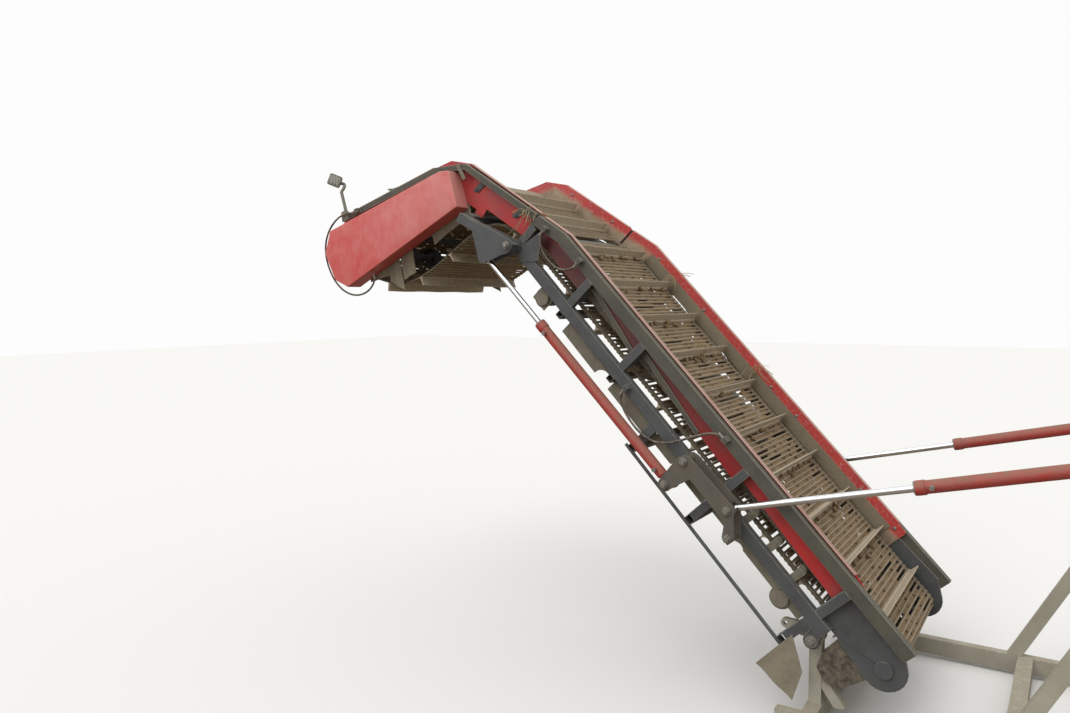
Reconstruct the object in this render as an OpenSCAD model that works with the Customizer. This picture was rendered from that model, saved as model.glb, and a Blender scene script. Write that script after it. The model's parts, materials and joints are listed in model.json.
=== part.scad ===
// Discharge elevator of a self-propelled potato harvester, with its lift and fold cylinders
// X runs from the head towards the harvester, Y runs across the belt, Z is up, in millimetres.
// The origin is the centre of the four chassis bolts, on the underside of the mounting frame.

/* [Stance] */
// Slope of the boom as it stands, in degrees
slope = 47; // [40:1:54]
// How much flatter the throat of the head lies than the boom, in degrees
throat_kink = 14; // [8:1:18]
// Bend between the throat and the nose of the head, in degrees
nose_bend = 50; // [40:1:56]

/* [Mounting frame] */
// Distance along X between the front and rear chassis bolts
bolt_span = 1530; // [1450:10:1650]
// Height of the foot pivot above the chassis
pivot_z = 480; // [440:10:560]
// Height of the lift cylinder tails above the foot pivot
tail_rise = 1118; // [1060:10:1180]
// Depth of the frame rails
rail_h = 100; // [80:5:120]
// Width of the frame rails
rail_w = 60; // [50:5:80]
// Wall of the frame rails
rail_t = 6; // [4:1:8]
// Radius of the chassis bolt holes
bolt_hole_r = 13; // [10:0.5:16]
// Thickness of the bolting plates
foot_plate_t = 20; // [12:1:25]

/* [Boom frame] */
// Length from the foot pivot to the end upright of the boom
boom_len = 2745; // [2600:5:2900]
// Half of the clear width between the side walls
channel_half = 573; // [560:1:585]
// Thickness of a side wall
wall_t = 6; // [4:1:8]
// Gap between a side wall and the chords
chord_gap = 11; // [8:1:16]
// Depth of a chord tube
chord_h = 70; // [60:2:80]
// Width of a chord tube
chord_w = 50; // [40:2:60]
// Wall of the chord, upright and leg tubes
chord_t = 4; // [3:0.5:6]
// Height of the underside of the bottom chord above the pivot
bottom_chord_z = 48; // [44:1:56]
// Height of the underside of the top chord above the pivot
top_chord_z = 315; // [305:1:325]
// Height of the lip of the side walls above the pivot
lip_z = 396; // [392:1:410]
// Width of an upright along the boom
upright_w = 50; // [40:2:60]
// How far the legs reach below the pivot
leg_drop = 152; // [120:5:170]

/* [Belt] */
// Distance between two flights
flight_pitch = 300; // [280:5:320]
// Rods from one flight to the next
rods_per_flight = 7; // [6:1:8]
// Diameter of a belt rod
rod_d = 11; // [9:0.5:13]
// Height of a flight above the straps
flight_h = 65; // [50:1:66]
// Thickness of a flight
flight_t = 8; // [5:1:12]
// Thickness of the two belt straps
strap_t = 9; // [6:0.5:12]
// Width of a belt strap
strap_w = 45; // [35:1:55]
// Height of the carrying run above the pivot
carry_z = 250; // [246:1:256]
// Height of the return run above the pivot
return_z = 130; // [127:1:134]
// Teeth of the drive sprocket
sprocket_teeth = 12; // [11:1:13]

/* [Cylinders] */
// Distance of the cylinder axes from the outer face of the chords
cyl_reach = 59; // [57:1:65]
// Outer diameter of the lift cylinder barrels
lift_barrel_d = 64; // [58:1:70]
// Diameter of the lift cylinder rods
lift_rod_d = 36; // [28:1:40]
// Outer diameter of the fold cylinder barrels
fold_barrel_d = 62; // [56:1:68]
// Diameter of the fold cylinder rods
fold_rod_d = 32; // [25:1:36]
// Radius of the cylinder pins
pin_r = 17; // [14:0.5:20]
// Radius of the eyes on the cylinder ends
eye_r = 36; // [32:1:40]
// Width of the cylinder eyes
eye_w = 50; // [44:1:56]
// Thickness of the plates that hold the cylinder pins
lug_t = 12; // [8:1:14]

/* [Head] */
// Length of the throat, from the head hinge to the bend of the belt
throat_len = 668; // [620:4:720]
// Length of the nose, from the bend of the belt to the drive shaft
nose_len = 1040; // [980:4:1080]
// How far the drive shaft lies below the carrying run
drive_drop = 150; // [140:1:160]
// Height of the carrying run above the head hinge
head_carry_z = 118; // [114:1:124]
// Height of the head's rails above the carrying run
head_rail_rise = 130; // [124:1:136]
// Thickness of the head's side walls
head_wall_t = 5; // [3:0.5:6]
// Depth of the drive guard across the machine
guard_w = 121; // [100:1:140]
// Side of the square rail tube along the top of the head
head_rail = 40; // [34:1:44]
// Radius of the hinge pins of the head
hinge_r = 15; // [12:0.5:18]

/* [Hidden] */

$fn = 48;
touch = 0.3;
drum_gap = 1.2;
run_gap = 0.05;
over = 1;
pivot_x = -bolt_span / 2;

// Planes across the machine, measured from its middle
wall_out = channel_half + wall_t;
chord_in = wall_out + chord_gap;
chord_out = chord_in + chord_w;
chord_mid = (chord_in + chord_out) / 2;
cyl_y = chord_out + cyl_reach;
far_lug_in = 2 * cyl_y - chord_out - lug_t;
skirt_t = 4;
post_w = 60;
post_in = channel_half - 73;

// Heights of the chords, and stations along the boom counted from its upper end
function station(a) = a - boom_len;
bottom_chord_top = bottom_chord_z + chord_h;
top_chord_top = top_chord_z + chord_h;
foot_leg_a = boom_len - 84;
upright_a = [495, 1000, 1895, foot_leg_a];
leg_a = [1385, 1895, foot_leg_a];
foot_x = 295;
kink_x = station(187);
chord_kink_x = station(172);
end_x = station(-20);

// The head hinge, in the boom's own frame
hinge_x = station(-25);
hinge_z = bottom_chord_z + chord_h / 2 + 7;

// The lift cylinders: the rod's pin on the boom and the tail's pin on the mast
knee_pin = [-753, 137];
function turn(p, a) = [p[0] * cos(a) - p[1] * sin(a), p[0] * sin(a) + p[1] * cos(a)];
knee_at = turn(knee_pin, -slope);
lift_dir = [bolt_span, tail_rise] - knee_at;
lift_len = norm(lift_dir);
lift_angle = atan2(lift_dir[1], lift_dir[0]);
lift_bare_rod = 885;
lift_stroke_left = 450;

// The fold cylinders: the tail's pin on the knee plates and the rod's pin on the lever brackets
fold_tail = [-1066, -55];
lever_pin = [-118, -158];
lever_at = [hinge_x, hinge_z] + turn(lever_pin, throat_kink);
fold_dir = lever_at - fold_tail;
fold_len = norm(fold_dir);
fold_angle = atan2(fold_dir[1], fold_dir[0]);
fold_bare_rod = 535;
fold_stroke_left = 400;
lever_t = 10;
lever_in = chord_out + lug_t;
far_lever_in = 2 * cyl_y - lever_in - lever_t;

// Frames of the boom, the throat and the nose
module at_boom() translate([pivot_x, 0, pivot_z]) rotate([0, slope, 0]) children();
module at_head() at_boom() translate([hinge_x, 0, hinge_z]) rotate([0, -throat_kink, 0]) children();
module at_nose() at_head() translate([-throat_len, 0, head_carry_z]) rotate([0, -nose_bend, 0]) children();
function nose(x, z) = [-throat_len, head_carry_z] + turn([x, z], nose_bend);
module both() {
    children();
    mirror([0, 1, 0]) children();
}

// A plate with an outline in x and z, and round bars across the machine
module plate(y_in, t) translate([0, -y_in, 0]) rotate([90, 0, 0]) linear_extrude(t) children();
module disc(p, r, y_in, y_out) translate([p[0], -y_in, p[1]]) rotate([90, 0, 0])
    cylinder(r = r, h = y_out - y_in);
module spot(p, r) translate(p) circle(r = r);

// Rectangular tubes along x, along z and across the machine
module tube_x(x0, x1, z0, h, y_in, w, t) translate([x0, -y_in - w, z0]) difference() {
    cube([x1 - x0, w, h]);
    translate([-over, t, t]) cube([x1 - x0 + 2 * over, w - 2 * t, h - 2 * t]);
}
module tube_z(x0, d, z0, z1, y_in, w, t) translate([x0, -y_in - w, z0]) difference() {
    cube([d, w, z1 - z0]);
    translate([t, t, -over]) cube([d - 2 * t, w - 2 * t, z1 - z0 + 2 * over]);
}
module tube_y(x0, d, z0, h, half, t) translate([x0, -half, z0]) difference() {
    cube([d, 2 * half, h]);
    translate([t, -over, t]) cube([d - 2 * t, 2 * half + 2 * over, h - 2 * t]);
}
// A bar between two points in x and z
module bar(p, q, depth, y_in, w) translate([p[0], -y_in - w, p[1]])
    rotate([0, -atan2(q[1] - p[1], q[0] - p[0]), 0])
        translate([0, 0, -depth / 2]) cube([norm(q - p), w, depth]);

// Arcs and curves, and places along a path of points
function arc(c, r, a0, a1, n) = [for (i = [0:n]) let (a = a0 + (a1 - a0) * i / n) c + r * [cos(a), sin(a)]];
function lead(p, a, d) = p + d * [cos(a), sin(a)];
function bez(p, n) = [for (i = [1:n]) let (t = i / n, u = 1 - t)
    u * u * u * p[0] + 3 * u * u * t * p[1] + 3 * u * t * t * p[2] + t * t * t * p[3]];
function run_sum(p) = [for (i = 0, s = 0; i < len(p);
    s = s + norm(p[min(i + 1, len(p) - 1)] - p[i]), i = i + 1) s];
function piece_at(sums, s) = min(len(sums) - 2, len([for (c = sums) if (c <= s) 1]) - 1);
function place(p, sums, s) = let (i = piece_at(sums, s), d = p[i + 1] - p[i])
    [p[i] + d * (s - sums[i]) / norm(d), atan2(d[1], d[0])];
function side_dir(p, i) = let (d = p[min(i + 1, len(p) - 1)] - p[max(i - 1, 0)]) [-d[1], d[0]] / norm(d);
function offset_path(p, w) = [for (i = [0:len(p) - 1]) p[i] + w * side_dir(p, i)];
function back(p) = [for (i = [len(p) - 1:-1:0]) p[i]];

// The belt on the boom, clockwise from the upper end of its carrying run
rod_pitch = flight_pitch / rods_per_flight;
joint_gap = 20;
bend_r = 250;
bend_at = [station(130), carry_z];
foot_roll_r = (carry_z - return_z) / 2;
foot_at = [foot_x, return_z + foot_roll_r];
boom_path = concat(
    [lead(bend_at, 180 + throat_kink, 129)],
    arc(bend_at + [bend_r * tan(throat_kink / 2), -bend_r], bend_r, 90 + throat_kink, 90, 3),
    arc(foot_at, foot_roll_r, 90, -90, 10),
    [[hinge_x + 2 * joint_gap, return_z]]);
boom_sums = run_sum(boom_path);

// The belt on the head, with the slack of its return run, clockwise from the foot of that run
sprocket_r = rod_pitch * sprocket_teeth / (2 * PI);
drive_at = nose(-nose_len, -drive_drop);
run_fall = atan2(drive_drop, nose_len) - asin(sprocket_r / norm([nose_len, drive_drop]));
run_bend = nose_bend + run_fall;
head_bend_r = 180;
wrap_end = 255;
off_sprocket = lead(drive_at, wrap_end, sprocket_r);
belly_low = [-770, -745];
head_return_z = 37;
return_lift = [-170, head_return_z];
head_path = back(concat(
    [[joint_gap, head_carry_z]],
    arc([-throat_len + head_bend_r * tan(run_bend / 2), head_carry_z - head_bend_r],
        head_bend_r, 90, 90 + run_bend, 5),
    arc(drive_at, sprocket_r, 90 + run_bend, wrap_end, 9),
    bez([off_sprocket, lead(off_sprocket, wrap_end + 90, 130), lead(belly_low, 213, 170), belly_low], 4),
    bez([belly_low, lead(belly_low, 33, 330), lead(return_lift, 180, 300), return_lift], 6),
    [[joint_gap, head_return_z]]));
head_sums = run_sum(head_path);

strap_out = channel_half - 28;
rod_half = strap_out - strap_w;
flight_half = channel_half - 23;

// Rods and straps of a path whose outer side is on its left, then its flights
module web(p, sums, first) {
    rotate([90, 0, 0]) translate([0, 0, -rod_half]) linear_extrude(2 * rod_half)
        for (s = [first:rod_pitch:sums[len(sums) - 1] - rod_d])
            translate(place(p, sums, s)[0]) circle(d = rod_d, $fn = 6);
    both() plate(rod_half, strap_w)
        polygon(concat(offset_path(p, strap_t / 2), back(offset_path(p, -strap_t / 2))));
}
module flights(p, sums, first)
    rotate([90, 0, 0]) translate([0, 0, -flight_half]) linear_extrude(2 * flight_half)
    for (s = [first:flight_pitch:sums[len(sums) - 1] - flight_t]) {
        at = place(p, sums, s);
        translate(at[0]) rotate(at[1])
            translate([-flight_t / 2, strap_t / 2 + touch]) square([flight_t, flight_h]);
    }

// A hose of round section swept along points of its route
hose_sides = 8;
hose_steps = 3;
function between(a, b, c, d, t) = 0.5 * ((2 * b) + (c - a) * t + (2 * a - 5 * b + 4 * c - d) * t * t
    + (3 * b - a - 3 * c + d) * t * t * t);
function smooth(p) = concat([for (i = [0:len(p) - 2], k = [0:hose_steps - 1])
    between(p[max(i - 1, 0)], p[i], p[i + 1], p[min(i + 2, len(p) - 1)], k / hose_steps)], [p[len(p) - 1]]);
function unit(v) = v / norm(v);
function leg(route, i) = unit(route[i + 1] - route[i]);
module hose(route, r) {
    p = smooth(route);
    n = len(p);
    along = [for (i = [0:n - 1]) i == 0 ? leg(route, 0) : i == n - 1 ? leg(route, len(route) - 2)
        : unit(p[i + 1] - p[i - 1])];
    rings = [for (t = along) let (u = unit(cross([0, 1, 0], t)), v = cross(t, u))
        [for (k = [0:hose_sides - 1]) let (a = 360 * k / hose_sides) r * (cos(a) * u + sin(a) * v)]];
    skin = [for (i = [0:n - 1], k = [0:hose_sides - 1]) p[i] + rings[i][k]];
    sides = [for (i = [0:n - 2], k = [0:hose_sides - 1]) let (m = (k + 1) % hose_sides, a = i * hose_sides)
        [a + k, a + m, a + hose_sides + m, a + hose_sides + k]];
    ends = [[for (k = [hose_sides - 1:-1:0]) k], [for (k = [0:hose_sides - 1]) (n - 1) * hose_sides + k]];
    polyhedron(points = skin, faces = [for (f = concat(sides, ends)) back(f)]);
}

// Mounting frame
rail_in = cyl_y - rail_w / 2;
rail_top = foot_plate_t + rail_h;
rail_front = pivot_x - 160;
rail_rear = -pivot_x + 110;
foot_plate = [180, 120];
module base_rails() color("silver") both() difference() {
    union() {
        tube_x(rail_front, rail_rear, foot_plate_t, rail_h, rail_in, rail_w, rail_t);
        for (x = [pivot_x, -pivot_x])
            translate([x - foot_plate[0] / 2, -cyl_y - rail_w / 2 - foot_plate[1] / 2, 0])
                cube([foot_plate[0], foot_plate[1], foot_plate_t]);
    }
    for (x = [pivot_x, -pivot_x]) translate([x, -cyl_y - rail_w, -over])
        cylinder(r = bolt_hole_r, h = foot_plate_t + 2 * over);
}

crossbar_w = 80;
crossbar_x = [pivot_x, 120, -pivot_x];
module base_crossbars() color("silver")
    for (x = crossbar_x) tube_y(x - crossbar_w / 2, crossbar_w, foot_plate_t, rail_h, rail_in, rail_t);

pivot_pin_r = 20;
post_boss_r = 45;
lever_reach = [-165, 25];
brace_foot = [130, -365];
module pivot_posts() color("lightgray") both() difference() {
    union() {
        translate([pivot_x - 32, -post_in - post_w, rail_top]) cube([64, post_w, pivot_z - rail_top]);
        translate([pivot_x, 0, pivot_z]) {
            disc([0, 0], post_boss_r, post_in, post_in + post_w);
            plate(post_in + 8, 25) polygon([[0, -44], [10, 44], [lever_reach[0] + 6, lever_reach[1] + 26],
                [lever_reach[0] - 6, lever_reach[1] - 26]]);
            disc(lever_reach, 26, post_in + 8, post_in + 33);
            bar([-5, -180], brace_foot, 50, post_in + 5, 50);
        }
    }
    translate([pivot_x, 0, pivot_z]) {
        disc([0, 0], pivot_pin_r + run_gap, post_in - over, post_in + post_w + over);
        disc(lever_reach, 12, post_in, post_in + post_w);
    }
    translate([pivot_x, -post_in - post_w, 0]) cube([300, post_w, rail_top]);
}

mast_w = 76;
mast_d = 80;
mast_top = pivot_z + tail_rise - 72;
mast_lug_r = 42;
module masts() color("silver") both() {
    tube_z(-pivot_x - mast_d / 2, mast_d, rail_top, mast_top, cyl_y - mast_w / 2, mast_w, rail_t);
    translate([-pivot_x - mast_d / 2, -cyl_y - mast_w / 2, mast_top]) cube([mast_d, mast_w, lug_t]);
    for (y = [cyl_y - mast_w / 2, cyl_y + mast_w / 2 - lug_t]) translate([-pivot_x, 0, pivot_z + tail_rise])
        plate(y, lug_t) difference() {
            union() {
                circle(r = mast_lug_r);
                translate([-mast_d / 2, lug_t - 72]) square([mast_d, 72 - lug_t]);
            }
            circle(r = pin_r + run_gap);
        }
}

strut_top = [-pivot_x - mast_d / 2, 1380];
strut_foot = [60, rail_top];
module mast_struts() color("silver") both() intersection() {
    bar(strut_foot - [60, 120], strut_top + [60, 120], 70, cyl_y - 25, 50);
    translate([-200, -cyl_y - 40, rail_top]) cube([200 - pivot_x - mast_d / 2, 80, 1500]);
}

pin_head_r = 25;
module mast_pins() color("dimgray") both() translate([-pivot_x, 0, pivot_z + tail_rise]) {
    disc([0, 0], pin_r, cyl_y - mast_w / 2 - 8, cyl_y + mast_w / 2 + 8);
    for (y = [cyl_y - mast_w / 2 - 8, cyl_y + mast_w / 2 + touch]) disc([0, 0], pin_head_r, y, y + 8 - touch);
}

// Boom frame
module pivot_pins() color("dimgray") at_boom() both() {
    disc([0, 0], pivot_pin_r, post_in - 8, chord_out + 8);
    disc([0, 0], 32, chord_out + touch, chord_out + 12);
}

foot_lug_r = 44;
gusset = [[station(5), 50], [station(5), 122], [station(45), 292], [station(155), 140], [station(65), 50]];
module bottom_chords() color("dimgray") at_boom() both() difference() {
    union() {
        tube_x(station(8), 10, bottom_chord_z, chord_h, chord_in, chord_w, chord_t);
        plate(chord_in, chord_w)
            polygon(concat(arc([hinge_x, bottom_chord_z + chord_h / 2], chord_h / 2, 90, 270, 16),
                [[station(8), bottom_chord_z], [station(8), bottom_chord_top]]));
        plate(chord_in, chord_w)
            polygon(concat([[10, bottom_chord_z], [-58, bottom_chord_z]],
                arc([0, 0], foot_lug_r, 180, 360, 16)));
        plate(chord_out, 6) polygon(gusset);
        hose_seat(low_block);
    }
    disc([hinge_x, hinge_z], hinge_r + run_gap, chord_in - over, chord_out + over);
    disc([0, 0], pivot_pin_r + run_gap, chord_in - over, chord_out + over);
}

chord_fall = (chord_kink_x - station(-45)) * tan(throat_kink);
hose_block_out = chord_out + 36;
hose_blocks = [[-2700, 300], [-2390, 340], [-1060, 330]];
low_block = [-1645, 68];
module hose_seat(b) translate([b[0], -hose_block_out, b[1]]) cube([30, hose_block_out - chord_out, 30]);
module top_chords() color("dimgray") at_boom() both() {
    tube_x(chord_kink_x, 300, top_chord_z, chord_h, chord_in, chord_w, chord_t);
    plate(chord_in, chord_w) polygon([[chord_kink_x, top_chord_top], [chord_kink_x, top_chord_z],
        [station(-45), top_chord_z - chord_fall], [station(-45), top_chord_top - chord_fall]]);
    translate([300, -chord_out, top_chord_z]) cube([6, chord_w, chord_h]);
    for (b = hose_blocks) hose_seat(b);
}

module uprights() color("dimgray") at_boom() both() {
    for (a = upright_a)
        tube_z(station(a) - upright_w / 2, upright_w, bottom_chord_top, top_chord_z, chord_in, chord_w, chord_t);
    tube_z(station(-45), upright_w, bottom_chord_top, top_chord_z - chord_fall, chord_in, chord_w, chord_t);
}

stub_len = 70;
tie_r = 10;
module legs() color("dimgray") at_boom() both() {
    for (a = leg_a)
        tube_z(station(a) - upright_w / 2, upright_w, upright_w - leg_drop, bottom_chord_z,
            chord_in, chord_w, chord_t);
    translate([station(leg_a[2]) - upright_w / 2, -chord_out, -leg_drop]) difference() {
        cube([upright_w, stub_len, upright_w]);
        translate([chord_t, -over, chord_t])
            cube([upright_w - 2 * chord_t, stub_len + 2 * over, upright_w - 2 * chord_t]);
    }
    translate([station(1340), -chord_mid, -leg_drop - tie_r - touch]) rotate([0, 90, 0])
        cylinder(r = tie_r, h = boom_len - 1405);
}

cross_h = 40;
belly_a = [495, 1000];
inner_bar_a = concat([-10], upright_a);
inner_bar_z = 155;
module boom_crossbars() color("dimgray") at_boom() {
    for (a = [leg_a[0], leg_a[1]])
        tube_y(station(a) - upright_w / 2, upright_w, -leg_drop, upright_w, chord_out, chord_t);
    for (a = belly_a)
        tube_y(station(a) - cross_h / 2, cross_h, bottom_chord_z - cross_h, cross_h, chord_out, 3);
    for (a = inner_bar_a) tube_y(station(a) - cross_h / 2, cross_h, inner_bar_z, cross_h, chord_in, 3);
}

// Sheet sides of the channel: the lower edge steps up under each diagonal bar
wall_foot_z = 200;
end_lip_z = lip_z - (kink_x - end_x) * tan(throat_kink);
bay_bars = [[[500, 291], [985, 215]], [[1005, 272], [1560, 213]]];
lip_flange = 20;
sheet_end_x = -59;
lip_end_x = -135;
module side_walls() color("brown") at_boom() both() {
    plate(channel_half, wall_t) polygon([[end_x, wall_foot_z], [end_x, end_lip_z], [kink_x, lip_z],
        [lip_end_x, lip_z], [sheet_end_x, top_chord_top], [sheet_end_x, 210], [station(1925), 238],
        [station(1870), wall_foot_z], [station(1560), 213], [station(1012), 271], [station(1012), wall_foot_z],
        [station(985), 215], [station(512), 289], [station(512), wall_foot_z]]);
    plate(wall_out, lip_flange) polygon([[end_x, end_lip_z - wall_t], [end_x, end_lip_z], [kink_x, lip_z],
        [lip_end_x, lip_z], [lip_end_x, lip_z - wall_t], [kink_x, lip_z - wall_t]]);
    for (a = [250, 750, 1450, 1700, 2300, boom_len - 145])
        translate([station(a), -chord_in, top_chord_z + 15]) cube([50, chord_gap, cross_h]);
}

liner_t = 8;
liner_z = [255, 340];
module wall_liners() color("black") at_boom() both()
    plate(channel_half - liner_t, liner_t - touch) polygon([[station(210), liner_z[0]],
        [station(210), liner_z[1]], [lip_end_x - 10, liner_z[1]], [lip_end_x - 10, liner_z[0]]]);

module bay_braces() color("dimgray") at_boom() both() for (b = bay_bars)
    bar([station(b[0][0]), b[0][1]], [station(b[1][0]), b[1][1]], 28, wall_out, chord_gap);

// Skirts below the bottom chords, one between each pair of legs, with round arches
skirt_in = chord_in - skirt_t;
skirt_top = bottom_chord_top - 8;
skirt_table = [[262, 382, -62], [560, 1350, -50], [1415, 1865, -32], [1930, boom_len - 115, -12]];
idler_a = [322, boom_len - 249];
idler_z = -8;
arch = [[955, 60], [1640, 50], [2165, 46]];
disc_a = [for (d = [665, 479, 293]) boom_len - d];
disc_z = 168;
module skirts() color("slategray") at_boom() both() {
    plate(skirt_in, skirt_t) difference() {
        union() {
            for (s = skirt_table) translate([station(s[0]), s[2]]) square([s[1] - s[0], skirt_top - s[2]]);
            for (a = idler_a) spot([station(a), idler_z], 62);
            for (a = disc_a)
                translate([station(a) - 22, skirt_top - over]) square([44, disc_z + 18 - skirt_top]);
        }
        for (s = arch) spot([station(s[0]), skirt_table[2][2] - 14], s[1]);
        translate([station(belly_a[1]) - cross_h / 2 - touch, -80])
            square([cross_h + 2 * touch, 80 + bottom_chord_z + touch]);
        for (a = idler_a) spot([station(a), idler_z], 20);
        for (a = disc_a) spot([station(a), disc_z], 8);
    }
}

foot_shaft_r = 20;
module foot_cheeks() color("dimgray") at_boom() both() plate(chord_in - 10, 10) difference() {
    polygon(concat([[-60, 100], [-60, 330], [250, 345]], arc(foot_at, 112, 60, -95, 10), [[60, 100]]));
    spot(foot_at, foot_shaft_r + run_gap);
}

boot_t = 8;
module foot_boot() color("black") at_boom() both() plate(chord_in - 10 - boot_t - touch, boot_t)
    polygon([[62, 160], [300, 160], [290, 60], [262, -80], [200, -118], [120, -96], [74, -10]]);

foot_drum_r = foot_roll_r - strap_t / 2 - drum_gap;
module foot_roller() color("dimgray") at_boom() {
    span_bar(foot_at, foot_shaft_r, chord_in + 12);
    both() disc(foot_at, foot_drum_r, rod_half + touch, strap_out + 8);
    both() disc(foot_at, 44, chord_in + touch, chord_in + 14);
    for (y = [-240, 0, 240]) translate([0, y, 0]) disc(foot_at, foot_drum_r - 4, -25, 25);
}
module span_bar(p, r, half) disc(p, r, -half, half);

idler_r = 50;
module idler_rollers() color("gray") at_boom() {
    for (a = idler_a) {
        span_bar([station(a), idler_z], 19.9, skirt_in + 22);
        both() disc([station(a), idler_z], idler_r, rod_half - 20, strap_out + 8);
        both() disc([station(a), idler_z], idler_r - 4, chord_in + touch, chord_in + 18);
    }
    both() for (a = disc_a) {
        disc([station(a), disc_z], 7.9, strap_out + 2, skirt_in + skirt_t + 8);
        disc([station(a), disc_z], 24, strap_out - 30, strap_out + 16);
    }
}

runner_y = strap_out - 37;
runner_w = 30;
runner_top = carry_z - strap_t / 2 - touch;
module runner_strips() color("black") at_boom() both()
    tube_x(station(150), -55, inner_bar_z + cross_h, runner_top - inner_bar_z - cross_h, runner_y, runner_w, 5);

module boom_web() color("tan") at_boom() web(boom_path, boom_sums, 20);
module boom_flights() color("burlywood") at_boom() flights(boom_path, boom_sums, 20 + 3.5 * rod_pitch);

// Knee plates, and the pins and spacers between them
knee_outline = [[-1104, -60], [-1130, 112], [-1112, 152], [-1080, 163], [-753, 177], [-712, 148], [-612, 62],
    [-616, 16], [-664, 18], [-716, 84], [-1000, 82], [-1030, -48]];
spacers = [[-1092, 120], [-642, 40]];
module knee_plates() color("dimgray") at_boom() both() {
    for (y = [chord_out, far_lug_in]) plate(y, lug_t) difference() {
        union() {
            polygon(knee_outline);
            spot(fold_tail, 39);
            spot(knee_pin, 41);
        }
    }
}
module knee_bolts() color("dimgray") at_boom() both() {
    disc(fold_tail, pin_r, chord_out + lug_t, far_lug_in);
    for (p = spacers) disc(p, 20, chord_out + lug_t, far_lug_in);
    for (p = concat(spacers, [fold_tail, knee_pin])) disc(p, 24, far_lug_in + lug_t, far_lug_in + lug_t + 9);
}

// Hoses along hand-chosen points, in the frame of what carries them
hose_r = 8;
hose_y = -chord_out - 24;
knee_route = [[-1630, hose_y, 68 - touch], [-1630, hose_y, 44], [-1608, hose_y, 8],
    [-1545, hose_y, -16], [-1460, hose_y, -28], [-1370, hose_y, -24], [-1290, hose_y, 8],
    [-1235, hose_y, 70], [-1198, hose_y, 150], [-1165, hose_y, 230], [-1128, hose_y, 304],
    [-1084, hose_y, 345], [-1060 - touch, hose_y, 345]];
bend_route = [[-2685, hose_y, 300 - touch], [-2685, hose_y, 276], [-2664, hose_y, 240],
    [-2614, hose_y, 216], [-2545, hose_y, 202], [-2475, hose_y, 208], [-2415, hose_y, 236],
    [-2382, hose_y, 278], [-2375, hose_y, 316], [-2375, hose_y, 340 - touch]];
nose_hose_y = -chord_out - 10;
nose_route = [[-900 - touch, nose_hose_y, 110], [-924, nose_hose_y, 110], [-1010, nose_hose_y, 134],
    [-1100, nose_hose_y, 128], [-1210, nose_hose_y, 72], [-1275, nose_hose_y, -20],
    [-1292, nose_hose_y, -130], [-1274, nose_hose_y, -250], [-1215, nose_hose_y, -370],
    [-1110, nose_hose_y, -452], [-1000, nose_hose_y, -474], [-915, nose_hose_y, -452],
    [-872, nose_hose_y, -410], [-866, nose_hose_y, -389], [-870, nose_hose_y, -365.3 - touch]];
module knee_hose() color("black") at_boom() hose(knee_route, hose_r);
module bend_hose() color("black") at_boom() hose(bend_route, hose_r);
module nose_hose() color("black") at_nose() hose(nose_route, hose_r);

// Head, in the frame of its throat
arm_in = lever_in + lever_t;
arm_w = far_lever_in - arm_in;
arm_wall = 5;
module head_arms() color("dimgray") at_head() both() difference() {
    plate(arm_in, arm_w) polygon([[25, 23], [28, -38], [-430, -76], [-430, -14]]);
    plate(arm_in + arm_wall, arm_w - 2 * arm_wall) polygon([[-60, 10], [-60, -39], [-431, -70], [-431, -20]]);
    disc([0, 0], hinge_r + run_gap, arm_in - over, far_lever_in + over);
}

lever_outline = [[-272, -66], [-266, 2], [-36, 34], [0, 38], [38, 0], [26, -42], [-8, -74],
    [-84, -172], [-118, -194], [-150, -176]];
module lever_brackets() color("dimgray") at_head() both()
    for (y = [lever_in, far_lever_in]) plate(y, lever_t) difference() {
        union() {
            polygon(lever_outline);
            spot([0, 0], eye_r + 2);
            spot(lever_pin, eye_r);
        }
        spot([0, 0], hinge_r + run_gap);
    }

module hinge_pins() color("gray") at_head() both() {
    far_face = far_lever_in + lever_t + touch;
    disc([0, 0], hinge_r, chord_in - 3, far_face + 9);
    disc([0, 0], 27, chord_out + touch, lever_in - touch);
    disc([0, 0], 24, far_face, far_face + 9);
}

rail_y = chord_in;
throat_rail_z = head_carry_z + head_rail_rise - 10 - head_rail;
nose_rail_z = head_rail_rise - head_rail;
rail_knee = [-632, throat_rail_z + head_rail / 2];
nose_block_out = chord_out + 22;
rail_line = [[20, rail_knee[1]], rail_knee, nose(-150, nose_rail_z + head_rail / 2),
    nose(-1052, nose_rail_z + head_rail / 2)];
rail_bore = concat([rail_line[0] + [over, 0]], [rail_line[1], rail_line[2]],
    [nose(-1052 - over, nose_rail_z + head_rail / 2)]);
function strip(p, w) = concat(offset_path(p, w), back(offset_path(p, -w)));
module head_rails() color("slategray") {
    at_head() both() difference() {
        plate(rail_y, head_rail) polygon(strip(rail_line, head_rail / 2));
        plate(rail_y + 3, head_rail - 6) polygon(strip(rail_bore, head_rail / 2 - 3));
    }
    at_nose() translate([-900, -nose_block_out, 95]) cube([30, nose_block_out - rail_y - head_rail, 30]);
}

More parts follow.
